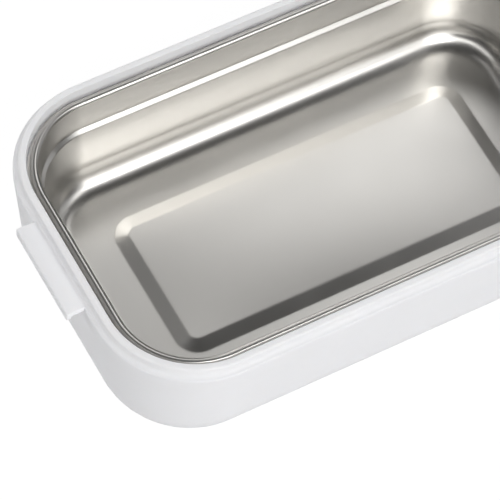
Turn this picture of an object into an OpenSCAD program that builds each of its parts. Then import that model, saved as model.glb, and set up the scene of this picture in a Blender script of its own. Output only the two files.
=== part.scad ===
// Electric lunch box: a steel tray over a heating plate in a two-shell plastic body, with a hinged lid.
// Millimetres, +Z up. The origin is on the table, under the middle of the steel tray.
// The lid is drawn standing open on its stop.

/* [Opening] */
// Half length of the opening inside the collar
open_half_l = 102; // [95:1:110]
// Half width of the opening inside the collar
open_half_w = 60; // [56:1:66]
// Corner radius of the opening
open_r = 32.2; // [31:0.1:40]

/* [Body] */
// Height of the body from its underside to the top of the collar
body_h = 57; // [56:0.5:62]
// Height of the feet
foot_h = 2; // [1.5:0.5:4]
// Wall thickness of the plastic shells
wall = 2.2; // [2:0.1:2.4]
// How far the shell reaches out past the opening at its shoulder
shoulder_out = 4.7; // [4.5:0.1:5.2]
// Drop from the collar's top to the shoulder
shoulder_drop = 4.1; // [3.9:0.1:4.6]
// Draft of the wall, as the narrowing from the shoulder to the bottom curve
wall_draft = 3; // [1.5:0.1:3.4]
// Radius of the curve between the wall and the underside
bottom_r = 20; // [16:1:20]
// Extra length of the body at the hinge end, for the electrical parts
end_bay = 24; // [22:1:30]

/* [Collar] */
// Width of the collar's flat top
collar_w = 2.7; // [2.4:0.1:3]
// Depth from the collar's top to the edge of the steel rim
rim_drop = 5.4; // [5:0.1:6]

/* [Tray] */
// Thickness of the tray's steel
steel = 0.6; // [0.5:0.1:0.8]
// Height of the tray's floor above the underside of the body
under_tray = 9.8; // [9.4:0.1:12]
// Radius of the curve between the tray's wall and its floor
tray_r = 9; // [8:0.5:10]
// Depth of the step in the tray's wall below the steel rim
step_depth = 11.4; // [10:0.1:14]
// Half length of the raised floor panel
panel_half_l = 71.8; // [68:0.1:74]
// Half width of the raised floor panel
panel_half_w = 31; // [29:0.1:33]
// Rise of the floor panel
panel_rise = 1; // [0.6:0.1:1.4]

/* [Tab] */
// Length of the catch tab beyond the shoulder
tab_out = 6.7; // [6.2:0.1:10]
// Half width of the catch tab
tab_half_w = 19.5; // [16:0.5:24]
// How far the middle of the catch tab lies behind the middle of the body
tab_y = 1.3; // [0:0.1:2]
// Depth of the tab's turned-down lip
tab_lip = 4.2; // [4:0.1:6]
// Thickness of the tab
tab_t = 2.5; // [2:0.1:3]
// Thickness of the tab's lip
lip_t = 2; // [1.8:0.1:2.4]

/* [Lid] */
// Height of the lid above the collar's top
lid_h = 15; // [14:1:20]
// Angle between the closed lid and the lid on its stop
open_angle = 105; // [100:1:110]
// Angle that the latch swings out from the tab
latch_swing = 35; // [30:1:45]

/* [Fits] */
// Radius of the hinge pin
pin_r = 1.5; // [1.4:0.1:1.8]
// Radial clearance of a turning pin
run_gap = 0.05; // [0.03:0.01:0.08]
// Space left between parts that pass each other
pass_gap = 0.4; // [0.3:0.1:0.5]

/* [Hidden] */
$fn = 48;
eps = 0.01;

corner_x = open_half_l - open_r;
corner_y = open_half_w - open_r;
bay_x = corner_x + end_bay;

body_bottom = foot_h;
collar_top = foot_h + body_h;
shoulder_top = collar_top - shoulder_drop;
rim_z = collar_top - rim_drop;
floor_z = body_bottom + under_tray;
step_z = rim_z - step_depth;

// How far a cut reaches past the face that it opens, and how far joined solids reach into each other
over = 1;
lap = 1;

// Shell
shell_edge = 0.6;
neck_out = 1;
shell_steps = 10;

// Insets of the tray's inner face from the opening, from the rim down to the floor
bead_in = 4.5;
bead_rise = 2.6;
bead_r = 1.5;
bead_lean = 0.2;
step_in = 5;
step_w = 1.7;
step_fall = 1.3;
wall_in = 8;
tray_bend_z = floor_z + tray_r;

// The well that holds the tray, as offsets outward from the tray's inner face
well_in = 1.4;
well_out = 3.2;
ledge_z = rim_z - steel;
ledge_t = 1.8;
collar_edge = 0.5;
collar_inner_edge = 0.4;
collar_flare = 0.6;
frame_gap = 0.7;
frame_floor_in = 10;

panel_r = 8.9;
panel_slope = 5.2;

// Underside
cover_t = 1.2;
cover_r = 9.8;
cover_gap = 0.2;
cover_lip = 4;
screw_r = 1.3;
screw_play = 0.3;
screw_head_r = 2.6;
screw_head_h = 1.1;
screw_bite = 5;
recess_half = 1.6;
recess_t = 0.35;
recess_left = 0.5;
boss_r = 3;
boss_h = 6;
screw_reach = 8;
foot_r = 6;
foot_flare = 1;
foot_flange = 0.6;
foot_in_x = 6;
foot_in_y = 4;

// Heating parts
plate_half_l = 62;
plate_half_w = 24;
plate_r = 8;
plate_flange = 5;
plate_play = 0.3;
tray_seat = 0.1;
plate_top = floor_z - steel - tray_seat;
well_floor_top = floor_z - well_in;
well_floor_bottom = floor_z - well_out;
plate_bottom = well_floor_bottom + plate_play;
ptc_h = 3;
ptc_x = 25;
ptc_half_l = 14;
ptc_half = 9;
clamp_t = 0.6;
clamp_half_w = 5;
clamp_bulge = 2.5;
clamp_foot_y = 31;
clamp_screw_y = 27.5;
clamp_head_r = 2.4;
clamp_head_h = 1;
clamp_screw_h = 2;
thermo_half_l = 7;
thermo_half_w = 4;
thermo_h = 4;
fuse_y = 9;
fuse_r = 1.8;
fuse_half = 6;
fuse_lead_r = 0.4;
fuse_lead = 10;
sheet_in = 4;
sheet_r = 5;
sheet_t = 0.6;

// Hinge
hinge_out = 10.6;
hinge_x = open_half_l + hinge_out;
hinge_up = 1;
hinge_z = collar_top + hinge_up;
knuckle_r = 4.3;
knuckle_half = 16;
knuckle_drop = 2;
ear_gap = 0.4;
ear_w = 5;
lug = 3;
lug_gap = 0.05;

// Lid
skirt_out = 5.6;
skirt_t = 1.9;
skirt_step = 4;
skirt_z = shoulder_top + pass_gap;
lid_top = collar_top + lid_h;
lid_r = 9;
lid_lean = 1;
lid_wall = 2.2;
lid_lap = 1.2;
notch_in = 1;
notch_down = 0.2;
notch_z = collar_top - notch_down;
post_r = 3;
inner_plate_up = 1;
inner_plate_z = collar_top + inner_plate_up;
inner_plate_t = 1.6;
inner_plate_in = 1.2;
seal_in = 4.7;
seal_step = 0.8;
seal_play = 0.02;
seal_up = 0.3;
seal_z = rim_z + bead_rise + seal_up;
seal_half = 0.6;
seal_lip_h = 1.2;
vent_x = 60;
vent_hole_r = 4;
vent_stem_r = 3.95;
vent_cap_r = 8;
vent_cap_h = 3;
vent_cap_edge = 1;

// Latch
shell_left = -(open_half_l + shoulder_out);
tab_x = shell_left - tab_out;
tab_lip_z = shoulder_top - tab_lip;
latch_pin_out = 10;
latch_pin_up = 7;
latch_x = -(open_half_l + latch_pin_out);
latch_z = collar_top + latch_pin_up;
latch_pin_r = 1.2;
latch_barrel_r = 2.8;
latch_half = 12.6;
latch_gap = 0.4;
latch_ear_w = 3;
latch_t = 2.2;
latch_shelf = 0.5;
latch_plate_out = 1;
latch_plate_x = tab_x - latch_plate_out;
latch_play = 0.7;
nose_reach = 3.2;
nose_h = 2.4;
nose_top = tab_lip_z - latch_play;

// End panel with the inlet, the switch and the lamp
panel_x = bay_x + open_r + shoulder_out;
panel_t = 5.2;
panel_rim_y = 4;
panel_rim_z = 2.5;
inlet_y = -15;
inlet_up = 27;
inlet_z = body_bottom + inlet_up;
inlet_w = 20;
inlet_h = 12;
inlet_depth = 18;
inlet_back = 4;
inlet_mouth = 4;
bezel_t = 1.5;
bezel_edge = 2;
socket_back = panel_x - inlet_depth;
pin_y = 4.5;
contact_r = 1.2;
pin_tail = 2;
pin_sink = 3;
switch_y = 15;
switch_w = 13;
switch_h = 19;
switch_edge = 1.5;
switch_depth = 14;
switch_back = panel_x - switch_depth;
rocker_w = 10;
rocker_half = 7.6;
rocker_deep = 9;
rocker_side = 0.3;
rocker_end = 1;
rocker_proud = 2.6;
rocker_belly = 4;
rocker_foot = 7.1;
rocker_back = 1;
rocker_pin_r = 1;
rocker_pin_out = 0.8;
rock_angle = 14;
rocker_pin_in = 1;
rocker_x = panel_x - rocker_pin_in;
lamp_y = 1;
lamp_up = 5;
lamp_z = inlet_z + lamp_up;
lamp_r = 2.5;
lamp_proud = 1;
bulb_r = 1.6;
bulb_h = 6;
bulb_cap_r = 2;
bulb_cap_h = 0.8;
flap_pin_r = 1;
flap_barrel_r = 1.9;
flap_clear = 2.2;
flap_x = panel_x + bezel_t + flap_clear;
flap_pin_up = 4.6;
flap_z = inlet_z + inlet_h / 2 + flap_pin_up;
flap_half = 8.6;
flap_side = 0.3;
flap_ear_w = 2;
flap_t = 1.6;
flap_front = 1.2;
flap_drop = 8;

wire_r = 1;
wire_down = 2.3;
wire_z = well_floor_bottom - wire_down;
wire_bend = 4;
wire_drop = 6;
wire_sink = 0.9;
contact_z = 5;
load_y = 3;
wire_lane_out = 7;
wire_lane_y = ptc_half + wire_lane_out;

white = [0.93, 0.93, 0.93];
steel_grey = [0.72, 0.71, 0.69];

function arc(cx, cy, r, a0, a1, n = 8) =
  [for (i = [0:n]) [cx + r * cos(a0 + (a1 - a0) * i / n), cy + r * sin(a0 + (a1 - a0) * i / n)]];

// Sweeps a section round a rounded rectangle whose corner centres lie at x0, x1 and +-y.
// The section's x is the distance from the corner centre and its y is the height.
module sweep(x0, x1, y) {
  at = [[x1, y], [x0, y], [x0, -y], [x1, -y]];
  for (k = [0:3])
    translate([at[k][0], at[k][1], 0])
      rotate([0, 0, 90 * k]) {
        rotate_extrude(angle = 90) children();
        rotate([90, 0, 0]) linear_extrude(height = k % 2 == 0 ? 2 * y : x1 - x0) children();
      }
}

module round_plan(x0, x1, y, r) {
  translate([x0 - r, -y]) square([x1 - x0 + 2 * r, 2 * y]);
  translate([x0, -y - r]) square([x1 - x0, 2 * y + 2 * r]);
  for (x = [x0, x1], s = [-1, 1]) translate([x, s * y]) circle(r = r);
}

module slab(x0, x1, y, r, z0, z1) {
  translate([0, 0, z0]) linear_extrude(height = z1 - z0) round_plan(x0, x1, y, r);
}

module box(low, high) {
  translate(low) cube(high - low);
}

// A cylinder along Y, centred on y = 0
module rod_y(x, z, r, half) {
  translate([x, half, z]) rotate([90, 0, 0]) cylinder(r = r, h = 2 * half);
}

module rod_x(y, z, r, x0, x1) {
  translate([x0, y, z]) rotate([0, 90, 0]) cylinder(r = r, h = x1 - x0);
}

// Places what is drawn for the closed lid on the open lid
module opened() {
  translate([hinge_x, 0, hinge_z])
    rotate([0, open_angle, 0])
      translate([-hinge_x, 0, -hinge_z])
        children();
}

function heading(points, i) =
  let (
    a = points[max(i, 1)] - points[max(i, 1) - 1],
    b = points[min(i + 1, len(points) - 1)] - points[min(i, len(points) - 2)]
  )
  let (d = a / norm(a) + b / norm(b)) d / norm(d);

// A round wire through the points, with a ring of corners square to its heading at each
module wire_run(points, r) {
  sides = 8;
  rings = len(points);
  side_way = [0.31, 0.17, 0.93];
  corners = [
    for (i = [0:rings - 1])
      let (
        d = heading(points, i),
        u = cross(d, side_way) / norm(cross(d, side_way)),
        v = cross(d, u)
      )
      for (k = [0:sides - 1]) points[i] + r * (cos(360 * k / sides) * u + sin(360 * k / sides) * v)
  ];
  polyhedron(
    points = corners,
    faces = concat(
      [[for (k = [0:sides - 1]) k]],
      [for (i = [0:rings - 2], k = [0:sides - 1])
        [
          i * sides + k,
          (i + 1) * sides + k,
          (i + 1) * sides + (k + 1) % sides,
          i * sides + (k + 1) % sides
        ]],
      [[for (k = [sides - 1:-1:0]) (rings - 1) * sides + k]]
    )
  );
}

// Outer shell

// The curve between the wall and the underside, moved inward by t
function shell_bend(t) =
  arc(
    open_r + shoulder_out - wall_draft - bottom_r, body_bottom + bottom_r, bottom_r - t, 0, -90, shell_steps
  );

module shell_section() {
  out = open_r + shoulder_out;
  inside = shell_bend(wall);
  flat_in = cover_r + cover_gap;
  polygon(concat(
    [[out - shell_edge, shoulder_top], [out, shoulder_top - shell_edge]],
    shell_bend(0),
    [
      [flat_in, body_bottom],
      [flat_in, body_bottom + cover_t],
      [flat_in - cover_lip, body_bottom + cover_t],
      [flat_in - cover_lip, body_bottom + wall]
    ],
    [for (i = [len(inside) - 1:-1:0]) inside[i]],
    [
      [out - wall, shoulder_top - wall],
      [out - wall, shoulder_top]
    ]
  ));
}

function screw_spots() =
  [for (x = [-corner_x, bay_x], s = [-1, 1])
    [x + sign(x) * screw_reach * cos(45), s * (corner_y + screw_reach * sin(45))]];

module catch_tab() {
  near = tab_y - tab_half_w;
  far = tab_y + tab_half_w;
  box([tab_x, near, shoulder_top - tab_t], [shell_left + wall, far, shoulder_top]);
  box([tab_x, near, tab_lip_z], [tab_x + lip_t, far, shoulder_top]);
}

module hinge_ear(s) {
  y0 = s > 0 ? knuckle_half + ear_gap : -knuckle_half - ear_gap - ear_w;
  box([hinge_x - knuckle_r, y0, shoulder_top - lap], [hinge_x + knuckle_r, y0 + ear_w, hinge_z]);
  translate([hinge_x, y0 + ear_w, hinge_z]) rotate([90, 0, 0]) cylinder(r = knuckle_r, h = ear_w);
}

// The flat end face that holds the inlet, the switch and the lamp
module end_panel() {
  box(
    [
      panel_x - panel_t,
      inlet_y - inlet_w / 2 - panel_rim_y,
      inlet_z - switch_h / 2 - panel_rim_z
    ],
    [
      panel_x,
      switch_y + switch_w / 2 + switch_edge + panel_rim_y,
      flap_z + flap_barrel_r + panel_rim_z / 2
    ]
  );
}

module panel_holes() {
  back = panel_x - panel_t - 3 * over;
  front = panel_x + over;
  box(
    [back, inlet_y - inlet_w / 2, inlet_z - inlet_h / 2],
    [front, inlet_y + inlet_w / 2, inlet_z + inlet_h / 2]
  );
  box(
    [back, switch_y - switch_w / 2, inlet_z - switch_h / 2],
    [front, switch_y + switch_w / 2, inlet_z + switch_h / 2]
  );
  rod_x(lamp_y, lamp_z, lamp_r, back, front);
}

module outer_shell() {
  color(white)
    difference() {
      union() {
        sweep(-corner_x, bay_x, corner_y) shell_section();
        difference() {
          slab(-corner_x, bay_x, corner_y, open_r + shoulder_out - lap, shoulder_top - wall, shoulder_top);
          slab(
            -corner_x, corner_x, corner_y, open_r + neck_out,
            shoulder_top - wall - over, shoulder_top + over
          );
        }
        catch_tab();
        hinge_ear(-1);
        hinge_ear(1);
        end_panel();
        for (p = screw_spots())
          translate([p[0], p[1], body_bottom + cover_t]) cylinder(r = boss_r, h = boss_h - cover_t);
      }
      rod_y(hinge_x, hinge_z, pin_r, knuckle_half + ear_gap + ear_w + over);
      panel_holes();
      for (p = screw_spots())
        translate([p[0], p[1], body_bottom]) cylinder(r = screw_r, h = boss_h + over);
    }
}

// Steel tray and the well around it

// The tray's inner face moved outward by e, from the top down to the floor
function tray_face(e) =
  concat(
    [
      [open_r - step_in + e, step_z - (e > 0 ? e : 0) + eps],
      [open_r - step_in - step_w + e, step_z - step_fall - e]
    ],
    arc(open_r - wall_in - tray_r, tray_bend_z, tray_r + e, 0, -90)
  );

module tray_section() {
  inner = tray_face(0);
  outer = tray_face(steel);
  bead_x = open_r - bead_in + bead_r;
  polygon(concat(
    arc(bead_x, rim_z + bead_rise - bead_r, bead_r, 0, 180, 10),
    inner,
    [[lap, floor_z], [lap, floor_z - steel]],
    [for (i = [len(outer) - 1:-1:0]) outer[i]],
    [
      [open_r - bead_in - bead_lean + steel, rim_z - steel],
      [open_r - pass_gap, rim_z - steel],
      [open_r - pass_gap, rim_z],
      [bead_x + bead_r, rim_z]
    ]
  ));
}

// The raised panel over a floor at height z, reaching down below it
module floor_panel(z, down) {
  px = panel_half_l - panel_r;
  py = panel_half_w - panel_r;
  sweep(-px, px, py)
    polygon([
      [0, z - down],
      [panel_r, z - down],
      [panel_r, z],
      [panel_r - panel_slope, z + panel_rise],
      [0, z + panel_rise]
    ]);
  box([-px - lap, -py - lap, z - down], [px + lap, py + lap, z + panel_rise]);
}

module food_tray() {
  color(steel_grey)
    difference() {
      union() {
        sweep(-corner_x, corner_x, corner_y) tray_section();
        slab(-corner_x, corner_x, corner_y, 2 * lap, floor_z - steel, floor_z);
        floor_panel(floor_z, steel / 2);
      }
      floor_panel(floor_z - steel, over);
    }
}

module frame_section() {
  well = tray_face(well_in);
  skin = tray_face(well_out);
  polygon(concat(
    [
      [open_r, ledge_z],
      [open_r, collar_top - collar_inner_edge],
      [open_r + collar_inner_edge, collar_top],
      [open_r + collar_w - collar_edge, collar_top],
      [open_r + collar_w, collar_top - collar_edge],
      [open_r + collar_w + collar_flare, shoulder_top],
      [open_r + frame_gap, shoulder_top],
      [open_r + frame_gap, ledge_z - ledge_t],
      [open_r - step_in + well_out, ledge_z - ledge_t]
    ],
    skin,
    [[frame_floor_in, well_floor_bottom], [frame_floor_in, well_floor_top]],
    [for (i = [len(well) - 1:-1:0]) well[i]],
    [[open_r - step_in + well_in, ledge_z]]
  ));
}

module inner_frame() {
  color(white)
    difference() {
      union() {
        sweep(-corner_x, corner_x, corner_y) frame_section();
        slab(
          -corner_x, corner_x, corner_y, frame_floor_in + lap, well_floor_bottom, well_floor_top
        );
      }
      slab(
        -plate_half_l + plate_r, plate_half_l - plate_r, plate_half_w - plate_r, plate_r,
        well_floor_bottom - over, well_floor_top + over
      );
      for (x = [-ptc_x, ptc_x], s = [-1, 1])
        translate([x, s * clamp_screw_y, well_floor_bottom - over])
          cylinder(r = screw_r, h = well_out - well_in + 2 * over);
    }
}

// Underside

module base_cover() {
  color(white)
    difference() {
      slab(-corner_x, bay_x, corner_y, cover_r, body_bottom, body_bottom + cover_t);
      for (p = screw_spots())
        translate([p[0], p[1], body_bottom - over])
          cylinder(r = screw_r + screw_play, h = cover_t + 2 * over);
    }
}

module feet() {
  color([0.25, 0.25, 0.26])
    for (x = [-corner_x + foot_in_x, bay_x - foot_in_x], s = [-1, 1])
      translate([x, s * (corner_y - foot_in_y), 0]) {
        cylinder(r = foot_r, h = body_bottom - foot_flange);
        translate([0, 0, body_bottom - foot_flange]) cylinder(r = foot_r + foot_flare, h = foot_flange);
      }
}

module base_screws() {
  color([0.6, 0.6, 0.62])
    for (p = screw_spots())
      translate([p[0], p[1], body_bottom]) {
        difference() {
          translate([0, 0, -screw_head_h]) cylinder(r = screw_head_r, h = screw_head_h);
          for (a = [0, 90])
            rotate([0, 0, a])
              box([-recess_half, -recess_t, -screw_head_h - over], [recess_half, recess_t, -recess_left]);
        }
        cylinder(r = screw_r, h = screw_bite);
      }
}

// Heating parts

module heating_plate() {
  x = plate_half_l - plate_r;
  y = plate_half_w - plate_r;
  color([0.78, 0.79, 0.8]) {
    slab(-x, x, y, plate_r + plate_flange, well_floor_top, plate_top);
    slab(-x, x, y, plate_r - plate_play, plate_bottom, well_floor_top + eps);
  }
}

module ptc_heaters() {
  color([0.85, 0.82, 0.74])
    for (x = [-ptc_x, ptc_x])
      box([x - ptc_half_l, -ptc_half, plate_bottom - ptc_h], [x + ptc_half_l, ptc_half, plate_bottom]);
}

module heater_clamps() {
  under = plate_bottom - ptc_h;
  riser = ptc_half + clamp_bulge;
  color([0.66, 0.66, 0.68])
    for (x = [-ptc_x, ptc_x]) {
      box([x - clamp_half_w, -riser, under - clamp_t], [x + clamp_half_w, riser, under]);
      for (s = [0, 1])
        mirror([0, s, 0])
          difference() {
            union() {
              box(
                [x - clamp_half_w, riser - clamp_t, under - clamp_t],
                [x + clamp_half_w, riser, well_floor_bottom]
              );
              box(
                [x - clamp_half_w, riser - clamp_t, well_floor_bottom - clamp_t],
                [x + clamp_half_w, clamp_foot_y, well_floor_bottom]
              );
            }
            translate([x, clamp_screw_y, well_floor_bottom - clamp_t - over])
              cylinder(r = screw_r + screw_play, h = clamp_t + 2 * over);
          }
    }
}

module clamp_screws() {
  color([0.6, 0.6, 0.62])
    for (x = [-ptc_x, ptc_x], s = [-1, 1])
      translate([x, s * clamp_screw_y, well_floor_bottom - clamp_t]) {
        translate([0, 0, -clamp_head_h]) cylinder(r = clamp_head_r, h = clamp_head_h);
        cylinder(r = screw_r, h = clamp_screw_h);
      }
}

module thermostat() {
  color([0.2, 0.2, 0.22])
    box(
      [-thermo_half_l, -thermo_half_w, plate_bottom - thermo_h],
      [thermo_half_l, thermo_half_w, plate_bottom]
    );
}

module thermal_fuse() {
  color([0.85, 0.85, 0.82]) {
    rod_x(fuse_y, plate_bottom - fuse_r, fuse_r, -fuse_half, fuse_half);
    rod_x(fuse_y, plate_bottom - fuse_r, fuse_lead_r, -fuse_lead, fuse_lead);
  }
}

module insulation_sheet() {
  z = body_bottom + cover_t;
  color([0.75, 0.68, 0.5])
    slab(-plate_half_l + sheet_in, plate_half_l - sheet_in, plate_half_w - sheet_in, sheet_r, z, z + sheet_t);
}

module wire_live() {
  color([0.55, 0.3, 0.18])
    wire_run([
      [socket_back - pin_tail, inlet_y + pin_y, inlet_z],
      [socket_back - wire_bend, inlet_y + pin_y, inlet_z - wire_drop],
      [socket_back - wire_bend, switch_y, inlet_z - 2 * wire_drop],
      [switch_back - wire_bend, switch_y, inlet_z - contact_z - wire_r],
      [switch_back + wire_sink, switch_y, inlet_z - contact_z]
    ], wire_r);
}

module wire_switched() {
  color([0.7, 0.2, 0.18])
    wire_run([
      [switch_back + wire_sink, switch_y + load_y, inlet_z + contact_z],
      [switch_back - wire_bend, switch_y + load_y, inlet_z + contact_z / 2],
      [switch_back - wire_bend - wire_r, switch_y + load_y, wire_z],
      [ptc_x - clamp_half_w, wire_lane_y, wire_z],
      [fuse_lead - wire_r, fuse_y + wire_bend, wire_z],
      [fuse_lead - wire_r, fuse_y, plate_bottom - fuse_r]
    ], wire_r);
}

module wire_neutral() {
  ptc_end = ptc_x + ptc_half_l;
  color([0.2, 0.35, 0.6])
    wire_run([
      [socket_back - pin_tail, inlet_y - pin_y, inlet_z],
      [socket_back - wire_bend - wire_r, inlet_y - pin_y, inlet_z - wire_bend],
      [socket_back - wire_bend - wire_r, inlet_y - pin_y, wire_z],
      [ptc_end + wire_bend, -wire_lane_y, wire_z],
      [ptc_end + 2 * wire_r, -ptc_half * 2 / 3, wire_z],
      [ptc_end, -ptc_half / 2, plate_bottom - ptc_h / 2]
    ], wire_r);
}

// Inlet, switch and lamp

// One ear that holds the end of the flap's pin
module flap_ear() {
  near = flap_half + flap_side;
  difference() {
    union() {
      box([panel_x, near, inlet_z + inlet_h / 2], [flap_x, near + flap_ear_w, flap_z + flap_barrel_r]);
      translate([flap_x, near + flap_ear_w, flap_z])
        rotate([90, 0, 0]) cylinder(r = flap_barrel_r, h = flap_ear_w);
    }
    translate([flap_x, near + flap_ear_w + over, flap_z])
      rotate([90, 0, 0]) cylinder(r = flap_pin_r, h = flap_ear_w + 2 * over);
  }
}

module inlet_socket() {
  low = [socket_back, inlet_y - inlet_w / 2, inlet_z - inlet_h / 2];
  high = [panel_x + bezel_t, inlet_y + inlet_w / 2, inlet_z + inlet_h / 2];
  edge = [0, bezel_edge, bezel_edge];
  face = [panel_x, low[1], low[2]];
  color([0.16, 0.16, 0.17])
    difference() {
      union() {
        box(low, high);
        box(face - edge, high + edge);
        for (s = [0, 1]) translate([0, inlet_y, 0]) mirror([0, s, 0]) flap_ear();
      }
      box(
        [socket_back + inlet_back, inlet_y - inlet_mouth, inlet_z - inlet_mouth],
        [high[0] + over, inlet_y + inlet_mouth, inlet_z + inlet_mouth]
      );
      for (s = [-1, 1])
        rod_x(inlet_y + s * inlet_mouth, inlet_z, inlet_mouth, socket_back + inlet_back, high[0] + over);
      for (s = [-1, 1])
        rod_x(inlet_y + s * pin_y, inlet_z, contact_r, socket_back - over, panel_x);
    }
}

module inlet_pins() {
  color([0.8, 0.78, 0.7])
    for (s = [-1, 1])
      rod_x(inlet_y + s * pin_y, inlet_z, contact_r, socket_back - pin_tail, panel_x - pin_sink);
}

module inlet_flap() {
  color([0.3, 0.3, 0.31])
    translate([0, inlet_y, 0])
      difference() {
        union() {
          rod_y(flap_x, flap_z, flap_barrel_r, flap_half);
          box(
            [flap_x - flap_front, -flap_half, inlet_z - flap_drop],
            [flap_x - flap_front + flap_t, flap_half, flap_z]
          );
        }
        rod_y(flap_x, flap_z, flap_pin_r + run_gap, flap_half + over);
      }
}

module flap_pin() {
  color([0.7, 0.7, 0.72])
    translate([0, inlet_y, 0]) rod_y(flap_x, flap_z, flap_pin_r, flap_half + flap_side + flap_ear_w);
}

module switch_body() {
  low = [switch_back, switch_y - switch_w / 2, inlet_z - switch_h / 2];
  high = [panel_x + bezel_t, switch_y + switch_w / 2, inlet_z + switch_h / 2];
  edge = [0, switch_edge, switch_edge];
  color([0.14, 0.14, 0.15])
    difference() {
      union() {
        box(low, high);
        box([panel_x, low[1], low[2]] - edge, high + edge);
      }
      box(
        [
          panel_x - rocker_deep,
          switch_y - rocker_w / 2 - rocker_side,
          inlet_z - rocker_half - rocker_end
        ],
        [
          high[0] + over,
          switch_y + rocker_w / 2 + rocker_side,
          inlet_z + rocker_half + rocker_end
        ]
      );
      translate([0, switch_y, 0])
        rod_y(rocker_x, inlet_z, rocker_pin_r + run_gap, rocker_w / 2 + rocker_pin_out + run_gap);
      rod_x(switch_y, inlet_z - contact_z, wire_r, switch_back - over, switch_back + over);
      rod_x(switch_y + load_y, inlet_z + contact_z, wire_r, switch_back - over, switch_back + over);
    }
}

module switch_rocker() {
  color([0.75, 0.12, 0.1])
    translate([0, switch_y, 0]) {
      translate([rocker_x, rocker_w / 2, inlet_z])
        rotate([90, 0, 0])
          linear_extrude(height = rocker_w)
            polygon([
              [rocker_proud, 0],
              [rocker_proud + rocker_half * tan(rock_angle), rocker_half],
              [-rocker_back, rocker_foot],
              [-rocker_belly, 0],
              [-rocker_back, -rocker_foot],
              [rocker_proud, -rocker_half]
            ]);
      rod_y(rocker_x, inlet_z, rocker_pin_r, rocker_w / 2 + rocker_pin_out);
    }
}

module lamp_lens() {
  color([0.9, 0.35, 0.2])
    rod_x(lamp_y, lamp_z, lamp_r, panel_x - panel_t - lamp_proud, panel_x + lamp_proud);
}

module indicator_lamp() {
  front = panel_x - panel_t - lamp_proud;
  color([0.9, 0.8, 0.7]) {
    rod_x(lamp_y, lamp_z, bulb_r, front - bulb_h, front);
    rod_x(lamp_y, lamp_z, bulb_cap_r, front - bulb_h - bulb_cap_h, front - bulb_h);
  }
}

// Lid

module hinge_pin() {
  color([0.7, 0.7, 0.72]) rod_y(hinge_x, hinge_z, pin_r, knuckle_half + ear_gap + ear_w);
}

module lid_section() {
  out = open_r + skirt_out;
  bend_x = out - lid_lean - lid_r;
  polygon(concat(
    [[out - skirt_t, skirt_z], [out, skirt_z]],
    arc(bend_x, lid_top - lid_r, lid_r, 0, 90),
    [[lap, lid_top], [lap, lid_top - lid_wall]],
    arc(bend_x, lid_top - lid_r, lid_r - lid_wall, 90, 0),
    [[out - skirt_t, collar_top + skirt_step]]
  ));
}

module latch_ears() {
  near = latch_half + latch_gap;
  for (s = [0, 1])
    mirror([0, s, 0]) {
      box(
        [latch_x, near, latch_z - latch_barrel_r],
        [-open_half_l - skirt_out + lid_lap, near + latch_ear_w, latch_z + latch_barrel_r]
      );
      translate([latch_x, near + latch_ear_w, latch_z])
        rotate([90, 0, 0]) cylinder(r = latch_barrel_r, h = latch_ear_w);
    }
}

// Opens the skirt at the hinge end, where it would meet the collar as the lid turns
module hinge_notch() {
  box(
    [open_half_l + notch_in, -open_half_w, skirt_z - over],
    [open_half_l + skirt_out + over, open_half_w, notch_z]
  );
}

module lid_shell() {
  post_z = inner_plate_z + inner_plate_t;
  color(white) {
    opened()
      difference() {
        union() {
          difference() {
            sweep(-corner_x, corner_x, corner_y) lid_section();
            hinge_notch();
          }
          slab(-corner_x, corner_x, corner_y, 2 * lap, lid_top - lid_wall, lid_top);
          for (x = [-corner_x, corner_x], s = [-1, 1])
            translate([x, s * corner_y, post_z]) cylinder(r = post_r, h = lid_top - post_z - lap);
          rod_y(hinge_x, hinge_z, knuckle_r, knuckle_half);
          box(
            [open_half_l + skirt_out - lid_lap, -knuckle_half, hinge_z - knuckle_drop],
            [hinge_x, knuckle_half, hinge_z + knuckle_r]
          );
          latch_ears();
        }
        rod_y(hinge_x, hinge_z, pin_r + run_gap, knuckle_half + over);
        rod_y(latch_x, latch_z, latch_pin_r, latch_half + latch_gap + latch_ear_w + over);
        translate([vent_x, 0, lid_top - lid_wall - over])
          cylinder(r = vent_hole_r, h = lid_wall + 2 * over);
      }
    difference() {
      box([hinge_x, -knuckle_half, shoulder_top + lug_gap], [hinge_x + lug, knuckle_half, hinge_z]);
      rod_y(hinge_x, hinge_z, pin_r + run_gap, knuckle_half + over);
    }
  }
}

module lid_inner_plate() {
  r = open_r - inner_plate_in;
  top = inner_plate_z + inner_plate_t;
  color([0.9, 0.9, 0.9])
    opened()
      difference() {
        union() {
          sweep(-corner_x, corner_x, corner_y)
            polygon([
              [lap, inner_plate_z],
              [r - seal_step, inner_plate_z],
              [r - seal_step, seal_z + seal_half],
              [r, seal_z + seal_half],
              [r, top],
              [lap, top]
            ]);
          slab(-corner_x, corner_x, corner_y, 2 * lap, inner_plate_z, top);
        }
        translate([vent_x, 0, inner_plate_z - over])
          cylinder(r = vent_hole_r, h = inner_plate_t + 2 * over);
      }
}

module lid_seal() {
  low = open_r - seal_in;
  high = open_r - inner_plate_in - seal_step - seal_play;
  crest = open_r - bead_in + bead_r;
  color([0.82, 0.83, 0.85])
    opened()
      sweep(-corner_x, corner_x, corner_y)
        polygon([
          [low, inner_plate_z],
          [low, seal_z + seal_lip_h],
          [crest - seal_half, seal_z],
          [crest + seal_half, seal_z],
          [high, seal_z + seal_lip_h],
          [high, inner_plate_z]
        ]);
}

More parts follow.
